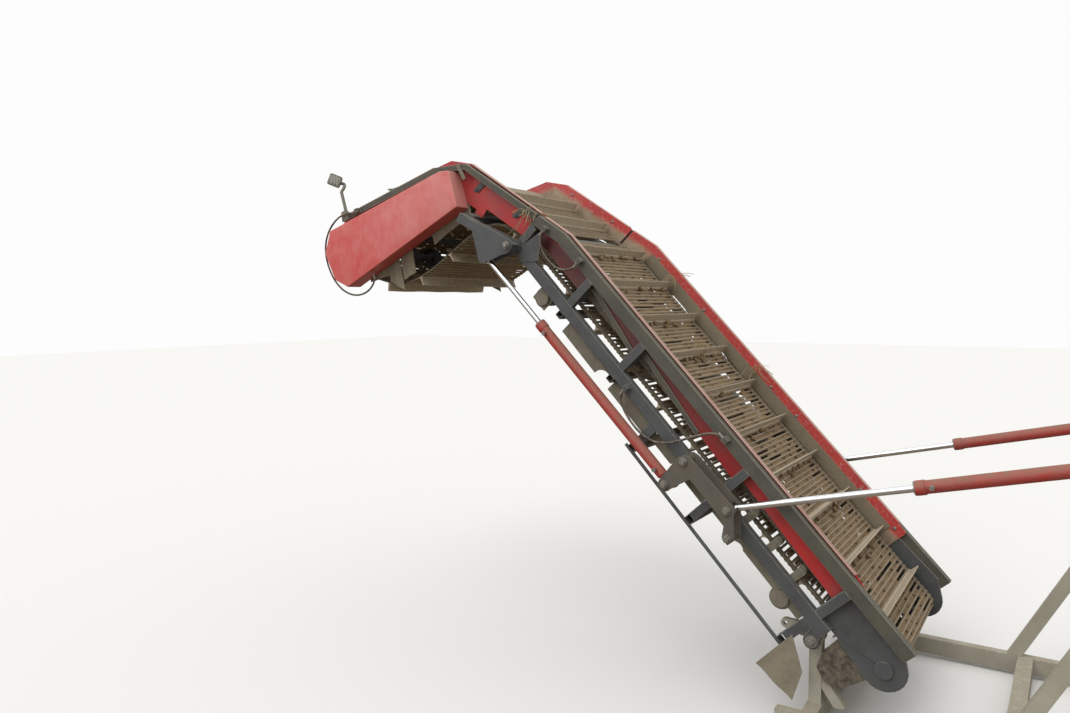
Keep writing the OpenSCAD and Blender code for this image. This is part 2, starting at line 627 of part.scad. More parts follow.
head_wall_out = channel_half + head_wall_t;
head_lip = head_rail_rise + 13;
module head_walls() color("brown") {
    at_head() both() {
        plate(channel_half, head_wall_t) difference() {
            polygon(concat([[3, 60], [50, 250], [-618, 252], [-790, 186], nose(-163, head_lip),
                nose(-1060, head_lip), nose(-1140, 70)],
                [for (a = [150:20:290]) lead(drive_at, a + nose_bend, 118)],
                [nose(-900, -135), nose(-20, -135), [-440, 20], [-440, -5], [-372, -5], [-366, 60]]));
            spot(drive_at, shaft_r + run_gap);
        }
        plate(head_wall_out, lip_flange) polygon([[-616, 246], [-616, 252], [25, 250], [25, 244]]);
        for (x = [-560, -150])
            translate([x, -rail_y, throat_rail_z]) cube([60, rail_y - head_wall_out, head_rail]);
    }
    at_nose() both() {
        translate([-1058, -head_wall_out - lip_flange, head_lip - 6]) cube([890, lip_flange, 6]);
        for (x = [-1020, -700, -300])
            translate([x, -rail_y, nose_rail_z]) cube([60, rail_y - head_wall_out, head_rail]);
    }
}

module head_crossbars() color("dimgray") {
    at_head() tube_y(-430, 50, -60, 55, lever_in + lever_t, 4);
    at_nose() for (x = [-800, -430]) tube_y(x, cross_h, -130, cross_h, channel_half, 3);
}

shaft_r = 22;
drive_drum_r = sprocket_r - strap_t / 2 - drum_gap;
module drive_shaft() color("dimgray") at_head() {
    disc(drive_at, shaft_r, -head_wall_out - 30, head_wall_out + 70);
    both() disc(drive_at, drive_drum_r, rod_half + touch, strap_out + 8);
    both() disc(drive_at, 50, head_wall_out + touch, head_wall_out + 24);
    for (y = [-250, 0, 250]) disc(drive_at, drive_drum_r - 3, y - 20, y + 20);
    disc(drive_at, 75, head_wall_out + 44, head_wall_out + 56);
}

module head_web() color("tan") at_head() web(head_path, head_sums, 16);
module head_flights() color("burlywood") at_head() flights(head_path, head_sums, 130);

guard_mid = [-1035, -165];
guard_r = 225;
function guard_outline(inset) = concat([[12 - inset, 5 - inset / 2], [-70 - inset / 2, 60 - inset]],
    arc(guard_mid, guard_r - inset, 90, 279.6, 14), [[12 - inset, -216 + inset]]);
sheet_t = 5;
module drive_guard() color("firebrick") at_nose() {
    plate(head_wall_out, guard_w) difference() {
        polygon(guard_outline(0));
        polygon(guard_outline(sheet_t));
    }
    plate(head_wall_out + guard_w - sheet_t, sheet_t) polygon(guard_outline(sheet_t - over));
}

curtain_t = 6;
curtain_table = [[-340, -215, -335, -300], [-210, -85, -300, -275], [-80, 18, -275, -250]];
module curtain() color("tan") at_nose() both() for (c = curtain_table)
    plate(channel_half - touch - curtain_t, curtain_t)
        polygon([[c[0], -120], [c[1], -120], [c[1], c[3]], [c[0], c[2]]]);

// The work lamp stands level on its post, over the near rail
nose_tilt = nose_bend + throat_kink - slope;
lamp_at = [-1081, 414];
lamp_size = [150, 100, 112];
lamp_y = -rail_y - 23;
post_top = lamp_at + turn([80, -62], -nose_tilt);
module at_lamp() at_nose() translate([lamp_at[0], lamp_y, lamp_at[1]]) rotate([0, nose_tilt, 0]) children();
module lamp_post() color("dimgray") {
    at_nose() translate([post_top[0], lamp_y, head_rail_rise])
        cylinder(r = 14, h = post_top[1] - head_rail_rise + over);
    at_lamp() translate([-50, -30, -62]) cube([148, 60, 6]);
}
module work_lamp() color("gray") at_lamp() {
    translate([-75, -50, -56]) difference() {
        cube(lamp_size);
        translate([-over, 8, 8]) cube([16, lamp_size[1] - 16, lamp_size[2] - 16]);
    }
}

// Cylinders, each drawn from its tail pin along X
module at_lift() translate([-pivot_x, 0, pivot_z + tail_rise]) rotate([0, -180 - lift_angle, 0]) children();
module at_fold() at_boom() translate([fold_tail[0], 0, fold_tail[1]]) rotate([0, -fold_angle, 0]) children();
module round_x(x0, x1, r) translate([x0, -cyl_y, 0]) rotate([0, 90, 0]) cylinder(r = r, h = x1 - x0);
barrel_wall = 5;
gland_len = 42;
neck_end = mast_lug_r + 12;
module barrel(gland, d, rod_d) both() difference() {
    union() {
        round_x(0, neck_end + over, eye_w / 2 - over);
        round_x(neck_end, gland, d / 2);
        round_x(gland - gland_len, gland, d / 2 + 4);
        disc([0, 0], eye_r, cyl_y - eye_w / 2, cyl_y + eye_w / 2);
        for (x = [neck_end + 44, gland - gland_len - 34]) translate([x, -cyl_y, 0]) rotate([90, 0, 0])
            cylinder(r = 12, h = d / 2 + 12);
    }
    round_x(neck_end + 14, gland - gland_len + over, d / 2 - barrel_wall);
    round_x(gland - gland_len, gland + over, rod_d / 2 + run_gap);
    disc([0, 0], pin_r + run_gap, cyl_y - eye_w, cyl_y + eye_w);
}
module rod(gland, reach, inside, d, rod_d, pin_in, pin_out) both() {
    round_x(gland - inside, reach - 20, rod_d / 2);
    round_x(gland - inside, gland - inside + 40, d / 2 - barrel_wall - run_gap);
    disc([reach, 0], eye_r, cyl_y - eye_w / 2, cyl_y + eye_w / 2);
    disc([reach, 0], pin_r, pin_in + touch, pin_out - touch);
    disc([reach, 0], pin_r + 8, pin_in + touch, pin_out - touch);
}
lift_gland = lift_len - eye_r - lift_bare_rod;
fold_gland = fold_len - eye_r - fold_bare_rod;
module lift_barrels() color("firebrick") at_lift() barrel(lift_gland, lift_barrel_d, lift_rod_d);
module lift_rods() color("whitesmoke") at_lift()
    rod(lift_gland, lift_len, lift_stroke_left, lift_barrel_d, lift_rod_d, chord_out + lug_t, far_lug_in);
module fold_barrels() color("firebrick") at_fold() barrel(fold_gland, fold_barrel_d, fold_rod_d);
module fold_rods() color("whitesmoke") at_fold()
    rod(fold_gland, fold_len, fold_stroke_left, fold_barrel_d, fold_rod_d, lever_in + lever_t, far_lever_in);

base_rails();
base_crossbars();
pivot_posts();
masts();
mast_struts();
mast_pins();
pivot_pins();
bottom_chords();
top_chords();
uprights();
legs();
boom_crossbars();
side_walls();
wall_liners();
bay_braces();
skirts();
foot_cheeks();
foot_boot();
foot_roller();
idler_rollers();
runner_strips();
boom_web();
boom_flights();
knee_plates();
knee_bolts();
knee_hose();
bend_hose();
head_arms();
lever_brackets();
hinge_pins();
head_rails();
head_walls();
head_crossbars();
drive_shaft();
head_web();
head_flights();
drive_guard();
curtain();
lamp_post();
work_lamp();
nose_hose();
lift_barrels();
lift_rods();
fold_barrels();
fold_rods();
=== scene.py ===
"""Looks of a potato harvester's discharge elevator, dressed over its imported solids.

Lengths are in metres, in the frame of the solids: X runs from the head towards the foot,
Y across the belt and Z up. Sizes on the boom, throat and nose are given in those parts' own planes.
"""

import json
import math

import bmesh
import bpy
import numpy as np
from bpy.props import FloatProperty, FloatVectorProperty, IntProperty, PointerProperty
from mathutils import Matrix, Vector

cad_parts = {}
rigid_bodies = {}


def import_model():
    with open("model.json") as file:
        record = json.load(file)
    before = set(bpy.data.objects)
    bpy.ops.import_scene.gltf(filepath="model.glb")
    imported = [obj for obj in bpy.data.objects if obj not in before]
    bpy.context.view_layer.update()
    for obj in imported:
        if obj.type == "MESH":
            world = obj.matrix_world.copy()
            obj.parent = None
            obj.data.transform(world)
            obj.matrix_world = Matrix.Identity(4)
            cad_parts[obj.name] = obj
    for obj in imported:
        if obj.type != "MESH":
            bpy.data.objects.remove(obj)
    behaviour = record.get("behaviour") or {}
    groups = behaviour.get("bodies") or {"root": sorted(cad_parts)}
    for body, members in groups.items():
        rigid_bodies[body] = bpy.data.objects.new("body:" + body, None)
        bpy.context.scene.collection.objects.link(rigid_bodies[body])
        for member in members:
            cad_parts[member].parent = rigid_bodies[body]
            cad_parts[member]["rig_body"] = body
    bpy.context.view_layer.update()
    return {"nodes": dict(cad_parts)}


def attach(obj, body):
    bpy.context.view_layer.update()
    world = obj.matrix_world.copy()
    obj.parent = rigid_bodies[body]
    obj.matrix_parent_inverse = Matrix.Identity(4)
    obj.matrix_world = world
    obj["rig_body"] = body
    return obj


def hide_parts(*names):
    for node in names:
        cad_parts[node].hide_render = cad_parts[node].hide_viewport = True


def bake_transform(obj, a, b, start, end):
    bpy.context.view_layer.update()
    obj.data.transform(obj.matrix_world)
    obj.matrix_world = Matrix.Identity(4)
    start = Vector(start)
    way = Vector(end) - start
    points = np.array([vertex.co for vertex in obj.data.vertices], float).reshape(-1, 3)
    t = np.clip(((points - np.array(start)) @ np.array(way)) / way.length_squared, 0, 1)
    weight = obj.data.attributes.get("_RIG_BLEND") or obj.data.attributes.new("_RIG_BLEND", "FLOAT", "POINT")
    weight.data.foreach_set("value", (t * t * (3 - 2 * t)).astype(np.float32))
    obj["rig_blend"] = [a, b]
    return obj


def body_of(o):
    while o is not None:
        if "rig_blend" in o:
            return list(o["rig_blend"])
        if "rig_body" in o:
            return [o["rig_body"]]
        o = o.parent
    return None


bl_info = {
    "name": "Discharge Elevator Looks",
    "version": (1, 0, 0),
    "blender": (4, 5, 0),
    "location": "View3D > Sidebar > Elevator",
    "description": "Belt, hoses, fasteners and finishes of a discharge elevator",
    "category": "Add Mesh",
}

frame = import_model()


# Planes of the side view

class Plane:
    """A plane frame of the side view: its own X and Z axes are turned about Y by an angle."""

    def __init__(self, origin, angle):
        c, s = math.cos(angle), math.sin(angle)
        self.origin = np.array([origin[0], 0.0, origin[1]])
        self.axes = np.array([[c, 0, s], [0, 1, 0], [-s, 0, c]])

    def out(self, points):
        """Points of this plane's frame, as rows of x, y, z, in the frame of the solids."""
        return np.asarray(points, float) @ self.axes + self.origin

    def spot(self, x, z):
        """The place in the side view of a point of this plane, as X and Z."""
        return self.out([x, 0, z])[[0, 2]]

    def facing(self, side):
        """Axes of a piece whose own Z points across the machine, to that side."""
        return np.array([self.axes[0], self.axes[2] * -side, [0, side, 0]])

    def ahead(self):
        """Axes of a piece whose own Z points along this plane's X."""
        return np.array([[0, 1, 0], self.axes[2], self.axes[0]])


SLOPE = math.radians(47)
THROAT_KINK = math.radians(14)
NOSE_BEND = math.radians(50)
BOOM_LEN = 2.745
THROAT_LEN = 0.668
NOSE_LEN = 1.040
PIVOT = (-0.765, 0.480)
TAIL = (0.765, 1.598)

# Heights of the belt's runs: carrying and returning, on the boom and on the head
CARRY = 0.250
RETURN = 0.130
HEAD_CARRY = 0.118
HEAD_RETURN = 0.037

# The head's hinge, the gap that the belts leave on both sides of it, and the drive drums
HINGE = (-2.770, 0.090)
JOINT_GAP = 0.020
WRAP_R = 0.08185
DRUM_DROP = 0.150

# Places on the boom that more than one piece needs: the fold cylinder's tail and the lift rod's eye
FOLD_TAIL = (-1.066, -0.055)
LIFT_EYE = (-0.753, 0.137)

BASE = Plane((0, 0), 0)
BOOM = Plane(PIVOT, -SLOPE)
HEAD = Plane(BOOM.spot(*HINGE), THROAT_KINK - SLOPE)
NOSE = Plane(HEAD.spot(-THROAT_LEN, HEAD_CARRY), NOSE_BEND + THROAT_KINK - SLOPE)


def station(a):
    """Place along the boom of a station counted from its upper end."""
    return a - BOOM_LEN


def aimed(tail, eye):
    """The plane of a cylinder that runs from its tail pin to the rod's eye, and its length."""
    reach = np.subtract(eye, tail)
    return Plane(tail, math.atan2(reach[1], reach[0])), float(np.hypot(*reach))


LIFT, LIFT_LEN = aimed(TAIL, BOOM.spot(*LIFT_EYE))
FOLD, FOLD_LEN = aimed(BOOM.spot(*FOLD_TAIL), HEAD.spot(-0.118, -0.158))

# Distances from the middle of the machine
CHANNEL_HALF = 0.573
WALL_OUT = 0.578
STRAP_OUT = 0.545
CHORD_OUT = 0.640
CYL_Y = 0.699
HOSE_Y = -0.664
NOSE_HOSE_Y = -0.650
LUG_T = 0.012
KNEE_OUT = 2 * CYL_Y - CHORD_OUT
LEVER_OUT = KNEE_OUT - LUG_T
GUARD_OUT = WALL_OUT + 0.121
NOSE_FLAP_Y = 0.5655
LIP_RIMS = (0.5765, 0.5975)
RAIL_OUT = 0.6305
FOOT_FLAP_Y = -0.6445
PIVOT_PIN_END = 0.652
MAST_PIN_END = 0.745

# The work lamp turns 34 degrees and leans 22 degrees: rows are its own X, Y and Z
TURN_C, TURN_S = math.cos(math.radians(34)), math.sin(math.radians(34))
LEAN_C, LEAN_S = math.cos(math.radians(22)), math.sin(math.radians(22))
LAMP_AXES = np.array([[LEAN_C * TURN_C, LEAN_C * TURN_S, -LEAN_S], [-TURN_S, TURN_C, 0],
                      [LEAN_S * TURN_C, LEAN_S * TURN_S, LEAN_C]])
LAMP_Y = -0.613
LAMP_AT = NOSE.out([-1.081, LAMP_Y, 0.414]) + [0.029, 0, 0]
LAMP_POST_X = -1.0226

# Cylinders: the eyes' radius, the end of the barrel's neck and the lengths of bare rod
EYE_R = 0.036
NECK_END = 0.054
LIFT_BARE = 0.885
FOLD_BARE = 0.535


def linear(code):
    """Linear colour of an sRGB hex code: each channel c becomes c / 12.92, or ((c + .055) / 1.055) ^ 2.4."""
    c = np.array([int(code[i:i + 2], 16) for i in (1, 3, 5)]) / 255
    return tuple(float(x) for x in np.where(c <= 0.04045, c / 12.92, ((c + 0.055) / 1.055) ** 2.4))


def colour(name, note, code):
    """A colour that the user can change, whose default is a hex code."""
    return FloatVectorProperty(name=name, description=note, subtype="COLOR", size=3, min=0, max=1,
                               default=linear(code))


def length(name, note, default):
    """A length that the user can change, in metres."""
    return FloatProperty(name=name, description=note, default=default, min=0.0001, unit="LENGTH")


class ElevatorColours(bpy.types.PropertyGroup):
    """Colours of the finishes."""

    red: colour("Red enamel", "Sheet sides, guard and barrels", "#C4302F")
    anthracite: colour("Anthracite enamel", "Tube frame, plates and arms", "#3E4045")
    primer: colour("Bare edge", "Edges where the enamel has worn through", "#8E8C86")
    pale: colour("Pale grey enamel", "Mounting frame", "#B5B3A4")
    skirt: colour("Skirt grey", "Skirts and rails under dust", "#62625A")
    dust: colour("Dust", "Dry field dust", "#9A8D78")
    soil: colour("Soil", "Soil caked on the belt", "#86745A")
    rubber: colour("Rubber", "Belting, hoses and strips", "#26241F")
    flight: colour("Flight", "Moulded flights under dried soil", "#C4B9A3")
    flap: colour("Flap", "Beige reinforced flaps", "#8D8573")


class BeltSizes(bpy.types.PropertyGroup):
    """Sizes of the rod belt."""

    rods_per_flight: IntProperty(name="Rods per flight", description="Rods from one flight to the next",
                                 default=10, min=6, max=12)
    flight_pitch: length("Flight pitch", "Distance between two flights", 0.300)
    flight_h: length("Flight height", "Height of a flight above the straps", 0.065)
    flight_t: length("Flight thickness", "Thickness of a flight at its top", 0.008)
    rod_d: length("Rod diameter", "Diameter of a belt rod with its rubber sleeve", 0.015)
    strap_w: length("Strap width", "Width of a belt strap", 0.045)
    strap_t: length("Strap thickness", "Thickness of a belt strap", 0.009)


class FastenerSizes(bpy.types.PropertyGroup):
    """Sizes of the bolts."""

    across: length("Bolt head", "Width of a bolt head across its flats", 0.024)
    head: length("Head height", "Height of a bolt head", 0.010)
    washer_r: length("Washer radius", "Radius of a washer", 0.018)
    washer_t: length("Washer thickness", "Thickness of a washer", 0.003)
    edge: length("Edge radius", "Width of the rounding on sheet and tube edges", 0.0018)


class CameraSettings(bpy.types.PropertyGroup):
    """Where the camera stands and how it looks."""

    place: FloatVectorProperty(name="Place", description="Place of the camera", subtype="TRANSLATION",
                               size=3, default=(0.334, -4.810, 2.211))
    heading: FloatVectorProperty(name="Heading", description="Level direction of the view", subtype="DIRECTION",
                                 size=3, default=(-0.556, 0.831, 0.0))
    pitch: FloatProperty(name="Pitch", description="How far the view looks down", subtype="ANGLE",
                         default=math.radians(3.694))
    roll: FloatProperty(name="Roll", description="How far the right side hangs down", subtype="ANGLE",
                        default=math.radians(0.338))
    lens: FloatProperty(name="Lens", description="Focal length for a 36 mm sensor", subtype="DISTANCE_CAMERA",
                        default=27.49)


# Surfaces from numpy arrays

def shell(grid):
    """Quads over rows of points: each row is a closed ring, and the first and last rings are capped."""
    grid = np.asarray(grid, float)
    rows, columns = grid.shape[:2]
    index = np.arange(rows * columns).reshape(rows, columns)
    caps = [index[0, ::-1].tolist(), index[-1].tolist()]
    index = np.hstack([index, index[:, :1]])
    quads = np.stack([index[:-1, :-1], index[:-1, 1:], index[1:, 1:], index[1:, :-1]], -1).reshape(-1, 4)
    return grid.reshape(-1, 3), quads.tolist() + caps


def joined(*parts):
    """Several parts as one: later faces count their points after the earlier ones."""
    starts = np.cumsum([0] + [len(p[0]) for p in parts[:-1]])
    faces = [[i + int(start) for i in face] for (_, own), start in zip(parts, starts) for face in own]
    return np.vstack([p[0] for p in parts]), faces


def repeated(part, places, axes):
    """Copies of a part: each point p becomes p times the copy's axes plus the copy's place."""
    places = np.asarray(places, float).reshape(-1, 3)
    axes = np.broadcast_to(np.asarray(axes, float), (len(places), 3, 3))
    own, faces = part
    points = np.einsum("pi,kij->kpj", own, axes) + places[:, None]
    starts = np.arange(len(places)) * len(own)
    return points.reshape(-1, 3), [[i + int(start) for i in face] for start in starts for face in faces]


def circle(radius, sides):
    """A round section: radius times cosine and sine of equal steps of angle."""
    a = np.linspace(0, 2 * math.pi, sides, endpoint=False)
    return radius * np.stack([np.cos(a), np.sin(a)], 1)


def rounded_box(width, height, radius, steps=3):
    """A box section whose corners are quarter circles of the radius, counter-clockwise."""
    a = np.linspace(0, math.pi / 2, steps + 1)
    quarter = radius * np.stack([np.cos(a), np.sin(a)], 1)
    signs = np.array([[1, 1], [-1, 1], [-1, -1], [1, -1]])
    turns = [np.array([[1, 0], [0, 1]]), np.array([[0, 1], [-1, 0]]), -np.eye(2), np.array([[0, -1], [1, 0]])]
    corner = np.array([width / 2 - radius, height / 2 - radius])
    return np.vstack([corner * s + quarter @ t for s, t in zip(signs, turns)])


def swept(path, section, side=(0, 1, 0)):
    """A section carried along a path: its first axis lies along side, its second across side and path."""
    path = np.asarray(path, float)
    along = np.gradient(path, axis=0)
    along /= np.linalg.norm(along, axis=1, keepdims=True)
    side = side - along * (along @ np.asarray(side, float))[:, None]
    side /= np.linalg.norm(side, axis=1, keepdims=True)
    up = np.cross(along, side)
    grid = path[:, None] + section[None, :, :1] * side[:, None] + section[None, :, 1:] * up[:, None]
    return shell(grid)


def turned(profile, sides):
    """A profile of radius and height turned about Z: each ring is the radius times a unit circle."""
    profile = np.asarray(profile, float)
    ring = circle(1, sides)
    grid = np.concatenate([profile[:, None, :1] * ring[None], np.repeat(profile[:, None, 1:], sides, 1)], -1)
    return shell(grid)


def smooth_route(points):
    """Cubic B-spline, each point weighed by (1-t)^3, 3t^3-6t^2+4, 1+3t+3t^2-3t^3 or t^3, over 6."""
    p = np.asarray(points, float)
    p = np.vstack([2 * p[:1] - p[1:2], p, 2 * p[-1:] - p[-2:-1]])
    t = (np.arange(6) / 6)[:, None, None]
    a, b, c, d = p[:-3], p[1:-2], p[2:-1], p[3:]
    curve = ((1 - t) ** 3 * a + (3 * t ** 3 - 6 * t ** 2 + 4) * b + (1 + 3 * t + 3 * t ** 2 - 3 * t ** 3) * c
             + t ** 3 * d) / 6
    return np.vstack([curve.transpose(1, 0, 2).reshape(-1, 3), p[-2:-1]])


def arc(centre, radius, start, end, steps):
    """Points of an arc in the side view: centre plus radius times cosine and sine."""
    a = np.radians(np.linspace(start, end, steps + 1))
    return np.asarray(centre) + radius * np.stack([np.cos(a), np.sin(a)], 1)


def lead(point, angle, distance):
    """The point that lies a distance from another one, at an angle in degrees."""
    turn = math.radians(angle)
    return np.asarray(point) + distance * np.array([math.cos(turn), math.sin(turn)])


def cubic(points, steps):
    """Bezier curve: four points weighted by u^3, 3u^2t, 3ut^2 and t^3, without its start. Here u is 1-t."""
    t = (np.arange(1, steps + 1) / steps)[:, None]
    a, b, c, d = np.asarray(points)
    return a * (1 - t) ** 3 + 3 * b * (1 - t) ** 2 * t + 3 * c * (1 - t) * t ** 2 + d * t ** 3


def arch(a, middle, b, steps):
    """Quadratic curve: points weighted by (1-t)^2, 2t(1-t) and t^2, in even steps of t."""
    t = np.linspace(0, 1, steps + 1)[:, None]
    return (1 - t) ** 2 * a + 2 * t * (1 - t) * middle + t ** 2 * b


def corners(outline):
    """Unit vectors along the sides that come into and leave each corner of a closed outline."""
    p = np.asarray(outline, float)
    sides = np.roll(p, -1, 0) - p
    sides /= np.linalg.norm(sides, axis=1, keepdims=True)
    return p, np.roll(sides, 1, 0), sides


def rounded(outline, radius):
    """An outline whose corners are curves (1-t)^2 a + 2t(1-t) corner + t^2 b between the cut's ends."""
    p, before, after = corners(outline)
    t = np.linspace(0, 1, 5)[None, :, None]
    a, b, mid = (p - radius * before)[:, None], (p + radius * after)[:, None], p[:, None]
    return ((1 - t) ** 2 * a + 2 * t * (1 - t) * mid + t ** 2 * b).reshape(-1, 2)


def inset(outline, distance):
    """An outline drawn in: a corner moves by the distance times the sum of its normals over 1 + cosine."""
    p, before, after = corners(outline)
    area = np.sum(p[:, 0] * np.roll(p[:, 1], -1) - np.roll(p[:, 0], -1) * p[:, 1])
    a, b = [np.stack([-d[:, 1], d[:, 0]], 1) * np.sign(area) for d in (before, after)]
    return p + distance * (a + b) / (1 + (a * b).sum(1))[:, None]


def layered(plane, outline, rows):
    """A closed shell of an outline of the side view: each row is an inset and a distance from the middle."""
    grid = []
    for distance, y in rows:
        p = inset(outline, distance)
        grid.append(np.stack([p[:, 0], np.full(len(p), y), p[:, 1]], 1))
    points, faces = shell(grid)
    return plane.out(points), faces


def plate(plane, outline, inner, outer):
    """A flat plate between two distances from the middle, with its rims cut by 1 mm."""
    edge = 0.001
    step = math.copysign(edge, outer - inner)
    return layered(plane, outline, [(edge, inner), (0, inner + step), (0, outer - step), (edge, outer)])


def flap(plane, top, bottom, y, curl):
    """A hanging rubber flap 5 mm thick. It swings out by curl v^2 and wavers by 6 mm v sin(9u)."""
    thick = 0.005
    u = np.linspace(0, 1, 9)[:, None, None]
    v = np.linspace(0, 1, 7)[None, :, None]
    (a, b), (c, d) = np.asarray(top, float), np.asarray(bottom, float)
    flat = (a * (1 - u) + b * u) * (1 - v) + (c * (1 - u) + d * u) * v
    out = np.broadcast_to(curl * v ** 2 + 0.006 * v * np.sin(9 * u), flat[..., :1].shape)
    front = np.concatenate([flat[..., :1], y + out + thick / 2, flat[..., 1:]], -1)
    back = np.concatenate([flat[..., :1], y + out - thick / 2, flat[..., 1:]], -1)[:, ::-1]
    points, faces = shell(np.concatenate([front, back], 1))
    return plane.out(points), faces


def lump(size, seed):
    """A clod: a ball of radius 1 + 0.25 sin(3a + seed) sin(2h + 1.7 seed), stretched to its sizes."""
    h = np.linspace(0.08, math.pi - 0.08, 6)[:, None]
    a = np.linspace(0, 2 * math.pi, 9, endpoint=False)[None]
    r = 1 + 0.25 * np.sin(3 * a + seed) * np.sin(2 * h + 1.7 * seed)
    ball = np.stack([r * np.sin(h) * np.cos(a), r * np.sin(h) * np.sin(a), r * np.cos(h)], -1)
    return shell(ball * np.asarray(size) / 2)


class Run:
    """A path in a plane's side view, walked by its own length."""

    def __init__(self, plane, points):
        self.plane = plane
        self.points = np.asarray(points, float)
        self.sums = np.concatenate([[0], np.cumsum(np.linalg.norm(np.diff(self.points, axis=0), axis=1))])

    def at(self, s):
        """Places on the path at lengths s, and unit vectors along it."""
        p = np.stack([np.interp(s, self.sums, self.points[:, k]) for k in (0, 1)], -1)
        i = np.clip(np.searchsorted(self.sums, s, side="right") - 1, 0, len(self.points) - 2)
        d = self.points[i + 1] - self.points[i]
        return p, d / np.linalg.norm(d, axis=-1, keepdims=True)

    def places(self, s, lift=0.0):
        """Places and axes of pieces on the path: their X runs along it, Y across, and Z outwards."""
        p, d = self.at(np.asarray(s, float))
        zero = np.zeros(len(p))
        out = np.stack([-d[:, 1], zero, d[:, 0]], -1)
        along = np.stack([d[:, 0], zero, d[:, 1]], -1)
        spots = np.stack([p[:, 0], zero, p[:, 1]], -1) + lift * out
        axes = np.stack([along, np.broadcast_to([0.0, 1.0, 0.0], along.shape), out], 1)
        return self.plane.out(spots), axes @ self.plane.axes

    def line(self):
        """The path's points in the frame of the solids."""
        return self.places(self.sums)[0]


# Every finish by its short name, made when the script runs
FINISH = {}


def piece(name, part, body, finish, outwards=True):
    """A mesh object of a part that rides on a body, with smooth faces between its sharp edges."""
    mesh = bpy.data.meshes.new(name)
    mesh.from_pydata(part[0], [], part[1])
    if outwards:
        bm = bmesh.new()
        bm.from_mesh(mesh)
        bmesh.ops.recalc_face_normals(bm, faces=bm.faces)
        bm.to_mesh(mesh)
        bm.free()
    mesh.shade_smooth()
    mesh.set_sharp_from_angle(angle=math.radians(35))
    obj = bpy.data.objects.new(name, mesh)
    bpy.context.scene.collection.objects.link(obj)
    mesh.materials.append(FINISH[finish])
    if body:
        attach(obj, body)
    return obj


def softened(node, width, coat, edge=None, smooth=True):
    """Replaces a solid by a copy of it whose flat faces are joined and whose edges are rounded.

    A face of five or more corners may be hollow or have holes, so it is cut into triangles before that. The
    solid's stored normals don't fit the joined faces and are dropped. Flat sheet isn't shaded smooth.
    """
    source = frame["nodes"][node]
    mesh = source.data.copy()
    mesh.name = node + "_dressed"
    stored = mesh.attributes.get("custom_normal")
    if stored:
        mesh.attributes.remove(stored)
    bm = bmesh.new()
    bm.from_mesh(mesh)
    bmesh.ops.remove_doubles(bm, verts=bm.verts, dist=0.00002)
    bmesh.ops.dissolve_limit(bm, angle_limit=math.radians(0.5), verts=bm.verts, edges=bm.edges)
    bmesh.ops.triangulate(bm, faces=[face for face in bm.faces if len(face.verts) > 4])
    bm.to_mesh(mesh)
    bm.free()
    obj = bpy.data.objects.new(node + "_dressed", mesh)
    bpy.context.scene.collection.objects.link(obj)
    mesh.materials.clear()
    mesh.materials.append(FINISH[coat])
    mesh.materials.append(FINISH[edge or coat])
    if smooth:
        mesh.shade_smooth()
    bevel = obj.modifiers.new("Rounded edges", "BEVEL")
    bevel.width = width
    bevel.segments = 2
    bevel.limit_method = "ANGLE"
    bevel.angle_limit = math.radians(30)
    bevel.material = 1
    if smooth:
        obj.modifiers.new("Normals of the largest faces", "WEIGHTED_NORMAL").keep_sharp = True
    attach(obj, body_of(source)[0])
    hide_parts(node)
    return obj


# Materials

def add(tree, kind, inputs=None, **settings):
    """Adds a shader node: sockets given as inputs are linked, and other inputs and settings are set."""
    made = tree.nodes.new("ShaderNode" + kind)
    for name, value in settings.items():
        setattr(made, name, value)
    for name, value in (inputs or {}).items():
        socket = made.inputs[name]
        if isinstance(value, bpy.types.NodeSocket):
            tree.links.new(value, socket)
        else:
            socket.default_value = opaque(value) if socket.type == "RGBA" else value
    return made


def opaque(shade):
    """A colour with full alpha, from a hex code or from linear red, green and blue."""
    return (*(linear(shade) if isinstance(shade, str) else shade), 1.0)


def new_material(name):
    """An empty material with its tree."""
    material = bpy.data.materials.new(name)
    material.use_nodes = True
    material.node_tree.nodes.clear()
    return material, material.node_tree


def patterned(name):
    """An empty material with its tree and the object's own coordinates, which its patterns use."""
    material, tree = new_material(name)
    return material, tree, add(tree, "TexCoord").outputs["Object"]


def finished(material, tree, shade, rough, bump=None, metal=0.0, coat=0.0):
    """Ends a material in one surface.

    Roughness and metal are each a number, or a mask and their values where it is 0 and where it is 1. The
    bump is its strength, its depth in metres and its height.
    """
    inputs = {"Base Color": shade, "Coat Weight": coat}
    for name, value in (("Roughness", rough), ("Metallic", metal)):
        if isinstance(value, tuple):
            mask, low, high = value
            value = add(tree, "MapRange", {"Value": mask, "To Min": low, "To Max": high}).outputs[0]
        inputs[name] = value
    if bump:
        strength, depth, height = bump
        relief = add(tree, "Bump", {"Strength": strength, "Distance": depth, "Height": height})
        inputs["Normal"] = relief.outputs[0]
    add(tree, "OutputMaterial", {"Surface": add(tree, "BsdfPrincipled", inputs).outputs[0]})
    return material


def grains(tree, coords, size, low, high, detail=4.0, rough=0.6):
    """Noise of grains of a real size in metres, stretched from 0 at low to 1 at high."""
    noise = add(tree, "TexNoise", {"Vector": coords, "Scale": 1 / size, "Detail": detail, "Roughness": rough})
    stretch = add(tree, "MapRange", {"Value": noise.outputs[0], "From Min": low, "From Max": high})
    return stretch.outputs[0]


def weighed(tree, *terms):
    """A mask from 0 to 1: the sum of its terms, of which each is the product of its factors."""
    total = None
    for first, *factors in terms:
        for factor in factors:
            first = add(tree, "Math", {0: first, 1: factor}, operation="MULTIPLY", use_clamp=True).outputs[0]
        if total is not None:
            first = add(tree, "Math", {0: total, 1: first}, operation="ADD", use_clamp=True).outputs[0]
        total = first
    return total


